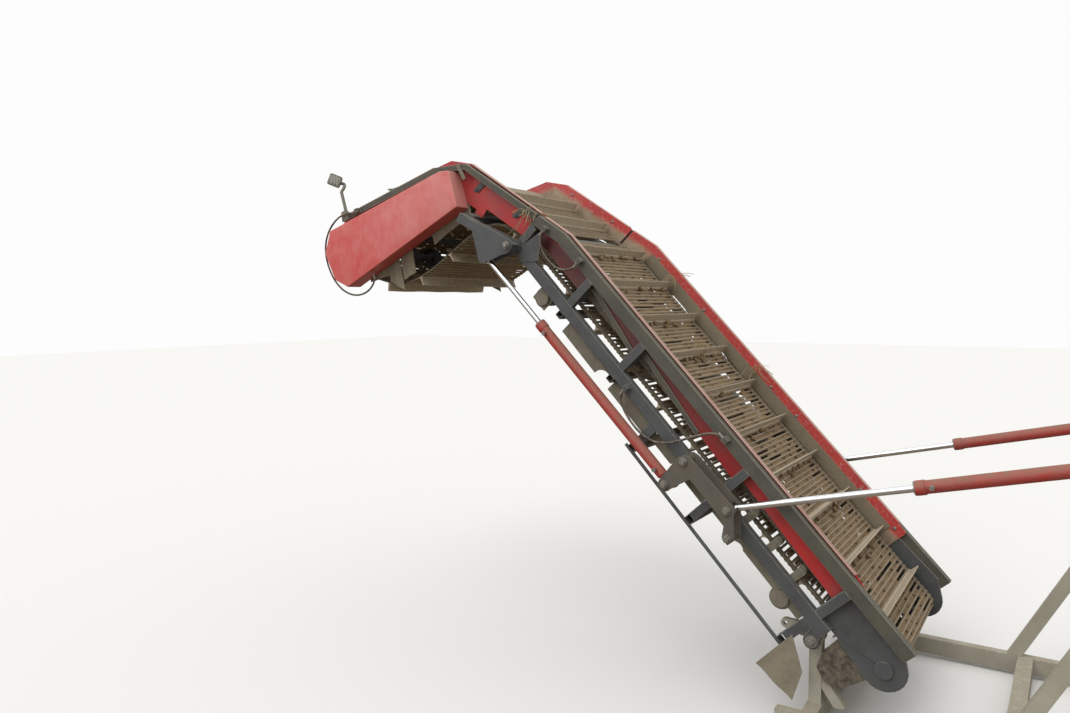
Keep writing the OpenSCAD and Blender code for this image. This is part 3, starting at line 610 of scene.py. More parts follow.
def painted(tree, base, *layers):
    """Colours laid over a base in turn: a layer is the factors of its mask, and then its colour."""
    for *factors, over in layers:
        mix = add(tree, "Mix", {0: weighed(tree, factors), 6: base, 7: over}, data_type="RGBA")
        base = mix.outputs[2]
    return base


def facing_part(tree, axis, start, full):
    """How far a face's normal points along an axis, from 0 at start to 1 at full."""
    part = add(tree, "SeparateXYZ", {"Vector": add(tree, "NewGeometry").outputs["Normal"]}).outputs[axis]
    return add(tree, "MapRange", {"Value": part, "From Min": start, "From Max": full}).outputs[0]


def beyond(tree, coords, plane, axis, distance=0.0):
    """How far a point lies beyond a distance along an axis of a plane."""
    along = add(tree, "VectorMath", {0: coords, 1: tuple(plane.axes[axis])}, operation="DOT_PRODUCT")
    start = float(plane.origin @ plane.axes[axis]) + distance
    return add(tree, "Math", {0: along.outputs["Value"], 1: start}, operation="SUBTRACT").outputs[0]


def tops_for_dust_and_painted_light(tree, start=-0.3):
    """How much a face looks up, from 0 on walls to 1 on level tops: where dust lies, and on rubber painted
    light.
    """
    return facing_part(tree, 2, start, 0.95)


def running_down(tree, coords):
    """Coordinates drawn out downwards eight times, for runs of water and mud."""
    return add(tree, "Mapping", {"Vector": coords, "Scale": (1.0, 1.0, 0.12)}).outputs[0]


def coated(name, coat, faded, dust, amount=0.8, gloss=0.45, start=-0.3, grime=None):
    """Sprayed enamel with faded patches, dust lying on its upper faces, and orange peel.

    Patches are 160 mm across, dust gathers in 45 mm clouds with 5 mm grit, and the peel is 3 mm wide,
    which is as fine as shows.
    """
    material, tree, coords = patterned(name)
    patches = grains(tree, coords, 0.16, 0.38, 0.62)
    clouds = grains(tree, coords, 0.045, 0.35, 0.68, 8.0, 0.7)
    grit = grains(tree, coords, 0.005, 0.42, 0.66, 3.0)
    lying = weighed(tree, (tops_for_dust_and_painted_light(tree, start), amount), (0.16 * amount,))
    dusty = weighed(tree, (lying, weighed(tree, (clouds,), (0.35,))), (grit, 0.25 * amount))
    shade = painted(tree, coat, (patches, 0.75, faded), (dusty, dust))
    if grime:
        streaks = grains(tree, running_down(tree, coords), 0.02, 0.55, 0.75, 5.0)
        shade = painted(tree, shade, (streaks, 0.35, grime))
    peel = add(tree, "TexNoise", {"Vector": coords, "Scale": 1 / 0.003, "Detail": 1.0}).outputs[0]
    height = add(tree, "Math", {0: peel, 1: dusty}, operation="ADD").outputs[0]
    return finished(material, tree, shade, (dusty, gloss, 0.92), (0.25, 0.0006, height))


def guard_enamel():
    """Gloss red enamel on the folded guard: grime runs, painted shade below and painted light on one side.

    It is chalked in 120 mm clouds, and most towards its upper end, where painted sunlight lies on it.
    """
    material, tree, coords = patterned("Red gloss enamel on folded sheet")
    clouds = grains(tree, coords, 0.12, 0.36, 0.66, 5.0)
    streaks = grains(tree, running_down(tree, coords), 0.018, 0.52, 0.72, 4.0)
    specks = grains(tree, coords, 0.007, 0.66, 0.74, 2.0)
    place = add(tree, "SeparateXYZ", {"Vector": coords}).outputs[0]
    painted_sunlight = add(tree, "MapRange", {"Value": place, "From Min": -3.95, "From Max": -3.25, "To Min": 0.15})
    chalk_and_painted_sunlight = weighed(tree, (clouds, 0.45), (painted_sunlight.outputs[0], 0.6))
    # Chalk with painted sunlight, grime, specks, painted shade below and painted light towards the foot
    shade = painted(tree, "#D23934", (chalk_and_painted_sunlight, "#E08883"), (streaks, 0.30, "#DB9490"), (specks, 0.5, "#D9B0A8"),
                    (facing_part(tree, 2, -0.35, -0.75), 0.9, "#B04038"),
                    (facing_part(tree, 0, 0.5, 0.85), 0.7, "#DDA094"))
    dents = add(tree, "TexNoise", {"Vector": coords, "Scale": 6.0, "Detail": 1.0}).outputs[0]
    return finished(material, tree, shade, (clouds, 0.28, 0.5), (0.25, 0.02, dents), coat=0.25)


def weathered(name, base, layers, rough, metal=0.0, bump=None):
    """A surface of one colour under layers of noise.

    A layer is its grain in metres, the noise at which it starts and is full, its detail and raggedness, its
    share and its colour. A pair for roughness or metal runs from where the first layer is bare to where it
    is full. The bump is its strength and its depth in metres, and it follows the second layer.
    """
    material, tree, coords = patterned(name)
    shade, masks = base, []
    for grain, low, high, detail, ragged, share, over in layers:
        masks.append(grains(tree, coords, grain, low, high, detail, ragged))
        shade = painted(tree, shade, (masks[-1], share, over))
    rough, metal = [(masks[0], *value) if isinstance(value, tuple) else value for value in (rough, metal)]
    return finished(material, tree, shade, rough, bump and (*bump, masks[1]), metal)


def chipped(name, coat, bare, dust):
    """Rounded edges of enamelled steel: chips 12 mm long show the primer, with dust in between."""
    # On the frame's and the rails' edges the coat given is paler than their enamel, as a painted highlight
    return weathered(name, coat, (
        (0.012, 0.46, 0.56, 6.0, 0.7, 0.85, bare), (0.06, 0.35, 0.65, 4.0, 0.6, 0.5, dust)), 0.6)


def finishes():
    """Every finish of the elevator, by a short name."""
    c = bpy.context.scene.elevator_colours
    return {
        # Enamel sprayed on welded tube: dull and even, greyer where dust lies on the upper faces
        "frame": coated("Anthracite enamel sprayed on welded tube", c.anthracite, "#4C5154", "#86867A",
                        0.55, 0.5, 0.05),
        # The edges' paler grey is partly chipped enamel and partly a painted highlight
        "frame_edge": chipped("Anthracite enamel chipped along edges", "#66686A", "#A3A194", c.dust),
        # The same enamel where soil drops on it: browner, with runs of mud
        "soiled": coated("Anthracite enamel under field soil", "#54534E", "#605A50", "#7B7262", 0.7, 0.7,
                         -0.1, "#6A5A48"),
        "soiled_edge": chipped("Anthracite enamel worn along soiled edges", "#6E6A60", "#8E897C", c.dust),
        # The rails: dark below, with a pale line along their edges: rubbed enamel and a painted highlight
        "chord": coated("Anthracite enamel greyed by dust and sun", "#43453F", "#5A574C", "#807A68", 0.50,
                        0.6, 0.0, "#5E5444"),
        "chord_edge": chipped("Anthracite enamel rubbed pale along the rails", "#A29F8E", "#C2BEAC",
                              c.dust),
        # Gloss enamel on steel sheet: bright in the shade, chalked pink and painted with sunlight where the sun
        # reaches it, with painted shade on the walls towards the boom's head and under the guard
        "wall": channel_sheet(c),
        "red_edge": chipped("Red enamel rubbed along edges", "#A8383A", "#D39A98", c.dust),
        "guard": guard_enamel(),
        "lip": coated("Red enamel on rolled lips, worn to pale primer", "#C98F80", "#D9B3A6", "#D8C6B8",
                      0.7, 0.5),
        # Gloss enamel on drawn tube: red below, brown with dust above
        "barrel": coated("Red enamel sprayed on steel tube", "#B8302E", "#A84848", "#94705E", 0.85, 0.35,
                         -0.2, "#6E4438"),
        "barrel_edge": chipped("Red enamel rubbed on tube ends", "#A8383A", "#C79A90", c.dust),
        # Thin enamel on small and folded pieces: flat grey green under an even layer of dust
        "olive": coated("Olive grey enamel under dust", "#63635A", "#75756A", "#A09C8A", 0.6, 0.6),
        "skirt": coated("Grey enamel on folded sheet under dust", c.skirt, "#747468", c.dust, 0.9, 0.6,
                        grime="#4A4038"),
        "skirt_edge": chipped("Grey enamel chipped along folds", "#77776C", c.primer, c.dust),
        "pale": coated("Pale enamel sprayed on rolled sections", c.pale, "#A5A292", c.dust, 0.6, 0.5),
        "pale_edge": chipped("Pale enamel chipped along edges", c.pale, "#7A6A5C", c.dust),
        # Inside the channel: rubbed, or caked with soil
        "steel": soiled_steel(c),
        "soil": dried_soil(),
        "straw": soiled_rubber("Dried haulm stalks", "#A8956C", "#7E6C4C", 0.5),
        "strap": soiled_rubber("Woven belting rubber with pressed-in soil", c.rubber, c.soil, 0.62),
        "flight": soiled_rubber("Moulded rubber flight with dried soil", c.flight, c.soil, 0.38),
        "liner": coated("Grey green polyethylene sheet rubbed pale", "#6A675A", "#7E7562", "#97866C", 0.75,
                        0.6, -0.6, "#6E6250"),
        "strip": soiled_rubber("Moulded polyethylene runner with soil", "#2B2A28", c.dust, 0.5),
        "flap": soiled_rubber("Cut rubber flap, beige with dust", c.flap, "#6E6656", 0.5),
        "chrome": hard_chrome(),
        "zinc": zinc_plated(),
        "hose": hose_rubber(c),
        "lens": lamp_glass(),
        "floor": floor_paint(),
    }


def channel_sheet(c):
    """Red enamel sprayed on the channel's sheet sides.

    Outside it is red with a brown bloom of soil, and painted shade darkens it below the line of the head's
    carrying run, towards the boom's head. Inside, the lower part is rubbed to dusty metal, and only the top
    90 mm keeps its red. The height above the belt is the greatest of the heights above its three runs. The
    folded lips are brown with soil.
    """
    material, tree, coords = patterned("Red enamel rubbed bare on the inside")
    heights = [beyond(tree, coords, plane, 2, rest)
               for plane, rest in ((BOOM, CARRY), (HEAD, HEAD_CARRY), (NOSE, 0.0))]
    above = heights[0]
    for height in heights[1:]:
        above = add(tree, "Math", {0: above, 1: height}, operation="MAXIMUM").outputs[0]
    ragged = grains(tree, coords, 0.05, 0.2, 0.8, 6.0)
    top = add(tree, "Math", {0: above, 1: weighed(tree, (ragged, 0.040))}, operation="SUBTRACT").outputs[0]
    rubbed = add(tree, "MapRange", {"Value": top, "From Min": 0.070, "From Max": 0.030}).outputs[0]
    across = add(tree, "SeparateXYZ", {"Vector": coords}).outputs[1]
    distance = add(tree, "Math", {0: across}, operation="ABSOLUTE").outputs[0]
    inside = add(tree, "Math", {0: distance, 1: CHANNEL_HALF + 0.0003}, operation="LESS_THAN").outputs[0]
    lip = add(tree, "Math", {0: distance, 1: WALL_OUT + 0.0016}, operation="GREATER_THAN").outputs[0]
    # Painted shade: dark brown on the outer wall below the head's carrying line, towards the boom's head
    below = add(tree, "MapRange", {"Value": heights[1], "From Min": 0.060, "From Max": 0.0}).outputs[0]
    along = beyond(tree, coords, BOOM, 0)
    shaded = add(tree, "MapRange", {"Value": along, "From Min": station(2.1), "From Max": station(1.2)})
    on_boom = add(tree, "Math", {0: along, 1: HINGE[0] + 0.010}, operation="GREATER_THAN").outputs[0]
    patches = grains(tree, coords, 0.13, 0.38, 0.62)
    specks = grains(tree, coords, 0.016, 0.52, 0.66, 6.0, 0.75)
    bloom = grains(tree, coords, 0.22, 0.42, 0.68, 5.0)
    red = painted(tree, c.red, (patches, 0.6, "#AE2C34"))
    # Over the red outside: a brown bloom of soil, then the painted shade
    outer = painted(tree, red, (bloom, 0.5, "#8C5450"), (shaded.outputs[0], below, on_boom, 0.85, "#43302E"))
    inner = painted(tree, red, (tops_for_dust_and_painted_light(tree), 0.35, "#C9A79C"))
    metal = painted(tree, "#A8977E", (patches, "#8E7D66"))
    shade = painted(tree, outer, (inside, inner), (inside, rubbed, metal), (inside, specks, 0.6, "#CDA398"),
                    (lip, weighed(tree, (ragged,), (0.45,)), "#6E4438"))
    rough = (weighed(tree, (inside, rubbed)), 0.36, 0.75)
    return finished(material, tree, shade, rough, (0.2, 0.0008, ragged))


def soiled_steel(c):
    """Drawn spring steel rods: bright where they are rubbed, brown with soil elsewhere, in 25 mm patches."""
    return weathered("Drawn spring steel with soil", "#988C7A", (
        (0.025, 0.34, 0.62, 6.0, 0.7, 1.0, c.soil), (0.004, 0.40, 0.64, 4.0, 0.6, 0.6, "#B5A285")),
        (0.45, 0.9), (0.35, 0.0), (0.6, 0.0012))


def dried_soil():
    """Field soil dried on the belt: a crumbly brown, paler on its crust, with 3 mm crumbs."""
    return weathered("Dried field soil", "#826B4D", (
        (0.06, 0.35, 0.65, 5.0, 0.6, 1.0, "#A68D69"), (0.003, 0.30, 0.75, 3.0, 0.6, 0.45, "#5E4C38")),
        0.95, bump=(0.8, 0.002))


def soiled_rubber(name, base, soil, share):
    """Matt rubber with soil pressed into it: 30 mm smears, 3 mm crumbs and painted light on its upper faces."""
    material, tree, coords = patterned(name)
    smears = grains(tree, coords, 0.03, 0.34, 0.64, 7.0, 0.65)
    crumbs = grains(tree, coords, 0.003, 0.40, 0.66, 4.0)
    # Painted light on the upper faces, with pale crumbs all over
    painted_top_light_and_crumbs = weighed(tree, (tops_for_dust_and_painted_light(tree, 0.0), 0.5), (crumbs, 0.3))
    shade = painted(tree, base, (smears, share, soil), (painted_top_light_and_crumbs, share, "#BFB29B"))
    return finished(material, tree, shade, 0.82, (0.5, 0.001, crumbs))


def hard_chrome():
    """Ground and hard chromed rod: a near mirror with faint drag marks and a film of dust."""
    return weathered("Hard chrome ground to a mirror", "#E9EBEE", (
        (0.05, 0.40, 0.75, 5.0, 0.6, 0.25, "#B7AFA3"),), (0.14, 0.30), 1.0)


def zinc_plated():
    """Zinc plated bolt steel: dull silver with brown dust in the corners."""
    return weathered("Zinc plated bolt steel", "#9A9892", (
        (0.008, 0.42, 0.66, 5.0, 0.6, 1.0, "#6F6658"),), 0.5, (0.8, 0.1))


def hose_rubber(c):
    """Wrapped hydraulic hose: matt black rubber with 2 mm fabric marks and a beige film of dust."""
    material, tree, coords = patterned("Wrapped hydraulic hose rubber")
    film = grains(tree, coords, 0.035, 0.36, 0.64, 6.0)
    weave = add(tree, "TexNoise", {"Vector": coords, "Scale": 1 / 0.002, "Detail": 2.0}).outputs[0]
    shade = painted(tree, "#2C2B29", (film, 0.6, c.dust), (tops_for_dust_and_painted_light(tree, 0.1), 0.4, "#A0968A"))
    return finished(material, tree, shade, 0.7, (0.35, 0.0005, weave))


def lamp_glass():
    """Pressed lamp glass over a reflector: pale and glossy, with 6 mm flutes."""
    material, tree, coords = patterned("Pressed lamp glass over a reflector")
    flutes = add(tree, "TexWave", {"Vector": coords, "Scale": 1 / 0.006 / 6.28, "Distortion": 0.0},
                 bands_direction="Y").outputs["Fac"]
    shade = painted(tree, "#77786E", (flutes, "#A3A498"))
    return finished(material, tree, shade, 0.12, (0.6, 0.001, flutes), coat=1.0)


def floor_paint():
    """Matt floor, pale to the camera and field brown to what it lights."""
    material, tree = new_material("Pale studio floor")
    rays = add(tree, "LightPath").outputs
    seen = add(tree, "Math", {0: rays["Is Camera Ray"], 1: rays["Is Transmission Ray"]}, operation="MAXIMUM")
    shade = painted(tree, "#8C8072", (seen.outputs[0], "#F0EFEC"))
    surface = add(tree, "BsdfDiffuse", {"Color": shade})
    add(tree, "OutputMaterial", {"Surface": surface.outputs[0]})
    return material


# Belt runs, drawn clockwise as the solids have them

def belt():
    """The belt's sizes."""
    return bpy.context.scene.elevator_belt


def rod_pitch():
    """The distance between two rods."""
    return belt().flight_pitch / belt().rods_per_flight


def boom_run():
    """The boom's belt: the bend under the head, the carrying run, the foot roller and the return run."""
    bend_r = 0.250
    bend = np.array([station(0.130), CARRY])
    foot_r = (CARRY - RETURN) / 2
    kink = math.degrees(THROAT_KINK)
    return Run(BOOM, np.vstack([
        lead(bend, 180 + kink, 0.129),
        arc(bend + [bend_r * math.tan(THROAT_KINK / 2), -bend_r], bend_r, 90 + kink, 90, 6),
        arc((0.295, RETURN + foot_r), foot_r, 90, -90, 20),
        [HINGE[0] + 2 * JOINT_GAP, RETURN]]))


def head_run():
    """The head's belt: the return run with its hanging slack, the drive drums, the nose and the throat."""
    r = WRAP_R
    drive = drive_spot()
    fall = math.atan2(DRUM_DROP, NOSE_LEN) - math.asin(r / math.hypot(NOSE_LEN, DRUM_DROP))
    bend = math.degrees(NOSE_BEND + fall)
    bend_r = 0.180
    nose = -THROAT_LEN + bend_r * math.tan(math.radians(bend) / 2)
    wrap_end = 255
    off = lead(drive, wrap_end, r)
    low = np.array([-0.770, -0.745])
    rise = np.array([-0.170, HEAD_RETURN])
    path = np.vstack([
        [JOINT_GAP, HEAD_CARRY],
        arc((nose, HEAD_CARRY - bend_r), bend_r, 90, 90 + bend, 10),
        arc(drive, r, 90 + bend, wrap_end, 18),
        cubic([off, lead(off, wrap_end + 90, 0.130), lead(low, 213, 0.170), low], 12),
        cubic([low, lead(low, 33, 0.330), lead(rise, 180, 0.300), rise], 18),
        [JOINT_GAP, HEAD_RETURN]])
    return Run(HEAD, path[::-1])


def drive_spot():
    """The drive shaft in the plane of the throat."""
    c, s = math.cos(NOSE_BEND), math.sin(NOSE_BEND)
    return np.array([-THROAT_LEN - NOSE_LEN * c + DRUM_DROP * s, HEAD_CARRY - NOSE_LEN * s - DRUM_DROP * c])


def belt_runs():
    """The belt's two runs: their body, their path, and where the first rod and the first flight lie."""
    return ("boom", boom_run(), 0.035, 0.170), ("head", head_run(), 0.025, 0.130)


def rod_steps(run, first):
    """Lengths along a run at which its rods lie."""
    return np.arange(first, run.sums[-1] - belt().rod_d, rod_pitch())


def straps(line, slack=0.0):
    """Two straps of rounded section carried along a line, thinner than the belt's by the slack."""
    width, thick = belt().strap_w - slack, belt().strap_t - 0.6 * slack
    middle = STRAP_OUT - belt().strap_w / 2
    section = rounded_box(width, thick, 0.0015, 2)
    return joined(*[swept(line + [0, side * middle, 0], section) for side in (-1, 1)])


def rods(run, first):
    """Round rods across the run, their ends flattened onto the straps under two rivets each."""
    sizes = belt()
    spots, axes = run.places(rod_steps(run, first))
    half = STRAP_OUT - sizes.strap_w
    top = sizes.strap_t / 2 + 0.0015
    parts = [swept([(0, -half, 0), (0, half, 0)], circle(sizes.rod_d / 2, 10), side=(1, 0, 0))]
    rivet = turned([(0.0045, 0), (0.0042, 0.0015), (0.0022, 0.0026)], 8)
    for side in (-1, 1):
        y = side * (half + sizes.strap_w / 2)
        parts.append(swept([(0, y - 0.021, top), (0, y + 0.021, top)], rounded_box(0.014, 0.003, 0.001, 1),
                           side=(1, 0, 0)))
        parts.append(repeated(rivet, [(0, y - 0.011, top + 0.0014), (0, y + 0.011, top + 0.0014)], np.eye(3)))
    return repeated(joined(*parts), spots, axes)


def flight_part():
    """A moulded flight: a tapered blade on a foot, its section carried across the belt with a slight sag.

    The section is the blade's outline in the length and height of the run; along the width the top dips
    by 3 mm times a cosine between its three bolted places.
    """
    sizes = belt()
    low = sizes.strap_t / 2 + 0.0004
    top = sizes.strap_t / 2 + sizes.flight_h
    t = sizes.flight_t / 2
    half = np.array([[0.014, low], [0.014, low + 0.005], [t + 0.002, low + 0.009], [t - 0.0005, top - 0.003],
                     [t - 0.003, top]])
    outline = np.vstack([[-0.014, low], half, half[:0:-1] * [-1, 1]])
    y = np.linspace(-CHANNEL_HALF + 0.023, CHANNEL_HALF - 0.023, 34)
    sag = 0.003 * (1 - np.cos(3 * math.pi * y / y[-1])) / 2
    high = (outline[:, 1] - low) / (top - low)
    z = outline[:, 1] - sag[:, None] * high
    return shell(np.stack(np.broadcast_arrays(outline[:, 0], y[:, None], z), -1))


def flights(run, first):
    """Flights on a run, one for each flight pitch."""
    spots, axes = run.places(np.arange(first, run.sums[-1] - belt().flight_t, belt().flight_pitch))
    return repeated(flight_part(), spots, axes)


def soil_crusts(run, first, seed):
    """Dried soil caught between the rods: flat bars of random length, thickest in the middle by sin(pi t)."""
    pitch = rod_pitch()
    chance = np.random.default_rng(seed)
    width = pitch - belt().rod_d + 0.001
    t = np.linspace(0, 1, 5)
    parts = []
    for s in rod_steps(run, first)[:-1] + pitch / 2:
        y = -0.49 + chance.uniform(0, 0.05)
        while y < 0.43:
            long = chance.uniform(0.08, 0.30)
            end = min(y + long, 0.495)
            if chance.uniform() < 0.86:
                thick = chance.uniform(0.003, 0.006) * (0.5 + 0.5 * np.sin(math.pi * t))
                half = width / 2 * (0.86 + 0.14 * np.sin(math.pi * t))
                line = y + (end - y) * t
                low = np.full(5, -0.004)
                grid = np.stack([np.stack([x, line, z], -1) for x, z in (
                    (-half, low), (half, low), (half * 0.9, low + thick), (-half * 0.9, low + thick))], 1)
                parts.append(repeated(shell(grid), *run.places([s])))
            y = end + chance.uniform(0.002, 0.030)
    return joined(*parts)


def clods(run, starts, seed):
    """Clods that rest against the flights, in heaps that start just above each one."""
    chance = np.random.default_rng(seed)
    parts = []
    for s in starts:
        for y in chance.uniform(-0.47, 0.47, 16):
            size = chance.uniform(0.012, 0.034) * np.array([1.0, 1.3, 0.7])
            away = 0.008 + size[0] / 2 + abs(chance.normal(0, 0.02))
            spots, axes = run.places([s + away], 0.006 + size[2] / 2)
            parts.append(repeated(lump(size, chance.uniform(0, 6)), spots + [0, y, 0], axes))
    return joined(*parts)


# Small parts

def bolt():
    """A hexagon head with a chamfered top on its washer, standing on Z = 0."""
    sizes = bpy.context.scene.elevator_fasteners
    t, top, r = sizes.washer_t, sizes.washer_t + sizes.head, sizes.across / math.sqrt(3)
    washer = turned([(sizes.washer_r, 0), (sizes.washer_r, t - 0.0006), (sizes.washer_r - 0.0006, t)], 20)
    return joined(washer, turned([(r, t), (r, top - 0.002), (r * 0.86, top)], 6))


def round_head():
    """The domed head of a carriage bolt: a profile that falls from 6 mm at its middle to its rim."""
    return turned([(0.0115, 0), (0.0110, 0.0022), (0.0085, 0.0045), (0.0045, 0.0058), (0.0005, 0.0062)], 14)


def on_both_sides(part, rows, scale=1.0, towards=1):
    """A part on both sides: each row is a plane, X and Z in it, and the distance from the middle."""
    return joined(*[repeated(part, [plane.out([x, side * y, z])], plane.facing(side * towards) * scale)
                    for plane, x, z, y in rows for side in (-1, 1)])


# Operators

class ELEVATOR_OT_stage(bpy.types.Operator):
    """Camera at the photograph's angle, pale floor, white surroundings and soft lamps."""

    bl_idname = "elevator.stage"
    bl_label = "Camera, Floor and Light"

    def execute(self, context):
        scene = context.scene
        c = scene.elevator_camera
        level = np.array(c.heading) / np.linalg.norm(c.heading)
        ahead = level * math.cos(c.pitch) - np.array([0, 0, math.sin(c.pitch)])
        right = np.cross(level, [0, 0, 1])
        up = np.cross(right, ahead)
        right, up = (right * math.cos(c.roll) - up * math.sin(c.roll),
                     up * math.cos(c.roll) + right * math.sin(c.roll))
        data = bpy.data.cameras.new("Photo camera")
        data.lens = c.lens
        data.sensor_width = 36
        data.clip_end = 200
        camera = bpy.data.objects.new("Photo camera", data)
        scene.collection.objects.link(camera)
        pose = np.eye(4)
        pose[:3, 0], pose[:3, 1], pose[:3, 2], pose[:3, 3] = right, up, -ahead, c.place
        camera.matrix_world = Matrix(pose)
        scene.camera = camera
        scene.view_settings.view_transform = "Standard"
        self.floor()
        self.light(scene)
        return {"FINISHED"}

    def floor(self):
        """A level sheet 80 m wide, 1 mm under the base rails."""
        size = 40
        points = [(x * size, y * size, -0.001) for x, y in ((-1, -1), (1, -1), (1, 1), (-1, 1))]
        piece("studio_floor", (points, [[0, 1, 2, 3]]), None, "floor", outwards=False)

    def light(self, scene):
        """An even sky whose strength shows colours as written, and a broad soft sun from the front left."""
        world = bpy.data.worlds.new("Overcast sky")
        scene.world = world
        world.use_nodes = True
        tree = world.node_tree
        tree.nodes.clear()
        rays = add(tree, "LightPath").outputs
        seen = add(tree, "Math", {0: rays["Is Camera Ray"], 1: rays["Is Glossy Ray"]}, operation="MAXIMUM")
        strength = add(tree, "MapRange", {"Value": seen.outputs[0], "To Min": 0.82, "To Max": 0.98}).outputs[0]
        sky = add(tree, "Background", {"Color": "#FFFFFF", "Strength": strength})
        add(tree, "OutputWorld", {"Surface": sky.outputs[0]})
        sun = bpy.data.lights.new("Soft sun", "SUN")
        sun.energy = 1.1
        sun.angle = math.radians(50)
        lamp = bpy.data.objects.new("Soft sun", sun)
        lamp.rotation_euler = (math.radians(38), math.radians(-14), 0)
        scene.collection.objects.link(lamp)


HOSE_R = 0.0065
KNEE_ROUTE = [(-1.630, 0.0677), (-1.630, 0.044), (-1.608, 0.008), (-1.545, -0.016), (-1.460, -0.028),
              (-1.370, -0.024), (-1.290, 0.008), (-1.235, 0.070), (-1.198, 0.150), (-1.165, 0.230),
              (-1.128, 0.304), (-1.084, 0.345), (-1.0603, 0.345)]
BEND_ROUTE = [(-2.685, 0.2997), (-2.685, 0.276), (-2.664, 0.240), (-2.614, 0.216), (-2.545, 0.202),
              (-2.475, 0.208), (-2.415, 0.236), (-2.382, 0.278), (-2.375, 0.316), (-2.375, 0.3397)]
NOSE_ROUTE = [(-0.9003, 0.110), (-0.924, 0.110), (-1.010, 0.134), (-1.100, 0.128), (-1.210, 0.072),
              (-1.275, -0.020), (-1.292, -0.130), (-1.274, -0.250), (-1.215, -0.370), (-1.110, -0.452),
              (-1.000, -0.474), (-0.915, -0.452), (-0.872, -0.410), (-0.866, -0.389), (-0.870, -0.3656)]


class ELEVATOR_OT_hoses(bpy.types.Operator):
    """Three hydraulic hoses on their routes, with crimped ends and hexagon nuts."""

    bl_idname = "elevator.hoses"
    bl_label = "Hydraulic Hoses"

    def execute(self, context):
        for name, plane, route, y, body in (
                ("knee_hose", BOOM, KNEE_ROUTE, HOSE_Y, "boom"),
                ("bend_hose", BOOM, BEND_ROUTE, HOSE_Y, "boom"),
                ("nose_hose", NOSE, NOSE_ROUTE, NOSE_HOSE_Y, "head")):
            self.hose(name, plane, route, y, body)
        return {"FINISHED"}

    def hose(self, name, plane, route, y, body):
        """One hose as a round section along its route, with an end fitting at both ends."""
        line = smooth_route(plane.out([(x, y, z) for x, z in route]))
        tube = piece(name + "_tube", swept(line, circle(HOSE_R, 16)), body, "hose", outwards=False)
        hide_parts(name)
        crimp = turned([(0.0064, 0.010), (0.0082, 0.0105), (0.0082, 0.017), (0.0077, 0.018),
                        (0.0082, 0.019), (0.0082, 0.029), (0.0077, 0.030), (0.0082, 0.031),
                        (0.0082, 0.037), (0.0064, 0.0375)], 18)
        nut = turned([(0.0102, 0.0004), (0.0110, 0.0012), (0.0110, 0.0092), (0.0102, 0.0100)], 6)
        ends = []
        for start, towards in ((line[0], line[3]), (line[-1], line[-4])):
            out = (towards - start) / np.linalg.norm(towards - start)
            axes = np.array([[0, 1, 0], np.cross(out, [0, 1, 0]), out])
            ends.append(repeated(joined(crimp, nut), [start], axes))
        fittings = piece(name + "_fittings", joined(*ends), body, "zinc")


# Rolled hollow sections, whose corners are three times as round as a cut edge
HOLLOW_SECTIONS = ("top_chords", "uprights", "legs", "boom_crossbars", "base_rails", "base_crossbars", "masts")


class ELEVATOR_OT_frame(bpy.types.Operator):
    """The welded frame, plates and sheet, with rounded edges and sprayed finishes."""

    bl_idname = "elevator.frame"
    bl_label = "Welded Frame and Sheet"

    def execute(self, context):
        edge = context.scene.elevator_fasteners.edge
        for finish, nodes in (
                ("frame", "bottom_chords uprights legs boom_crossbars foot_cheeks "
                          "head_arms lever_brackets head_crossbars foot_roller drive_shaft"),
                ("soiled", "knee_plates"),
                ("barrel", "lift_barrels fold_barrels"),
                ("pale", "base_rails base_crossbars pivot_posts masts mast_struts"),
                ("chord", "top_chords head_rails bay_braces"),
                ("skirt", "skirts idler_rollers")):
            for node in nodes.split():
                width = 3 * edge if node in HOLLOW_SECTIONS else edge
                softened(node, width, finish, finish + "_edge")
        for node in ("side_walls", "head_walls"):
            softened(node, edge, "wall", "red_edge", smooth=False)
        for node, finish in (("wall_liners", "liner"), ("foot_boot", "strip"), ("runner_strips", "strip"),
                             ("curtain", "flap")):
            softened(node, edge, finish)
        for node in ("mast_pins", "pivot_pins", "hinge_pins", "knee_bolts"):
            softened(node, edge, "zinc")
        for node in ("lift_rods", "fold_rods"):
            softened(node, edge, "chrome")
        return {"FINISHED"}


class ELEVATOR_OT_belt(bpy.types.Operator):
    """Straps, riveted rods and flights on the boom and the head, and the belt across the hinge."""

    bl_idname = "elevator.belt"
    bl_label = "Rod Belt"

    def execute(self, context):
        for body, run, first_rod, first_flight in belt_runs():
            web = piece(body + "_straps", straps(run.line()), body, "strap")
            piece(body + "_rods", rods(run, first_rod), body, "steel")
            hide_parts(body + "_web")
            blades = piece(body + "_blades", flights(run, first_flight), body, "flight")
            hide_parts(body + "_flights")
        self.bridge(boom_run().line(), head_run().line())
        return {"FINISHED"}

    def bridge(self, boom, head):
        """The straps across the head's hinge, which bend between the boom and the head."""
        t = np.linspace(0, 1, 9)[:, None]
        for name, start, end in (("carrying", boom[0], head[-1]), ("returning", boom[-1], head[0])):
            line = start * (1 - t) + end * t
            strap = piece(name + "_bridge", straps(line, slack=0.001), None, "strap")
            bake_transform(strap, "boom", "head", start=tuple(line[0]), end=tuple(line[-1]))


class ELEVATOR_OT_soil(bpy.types.Operator):
    """Dried soil between the belt's rods and clods that lean on the flights."""

    bl_idname = "elevator.soil"
    bl_label = "Soil on the Belt"

    def execute(self, context):
        runs = belt_runs()
        for body, run, first_rod, _ in runs:
            piece(body + "_crusts", soil_crusts(run, first_rod, 7), body, "soil")
        body, run, _, first_flight = runs[0]
        starts = first_flight + belt().flight_pitch * np.arange(9)
        piece(body + "_clods", clods(run, starts, 3), body, "soil")
        return {"FINISHED"}


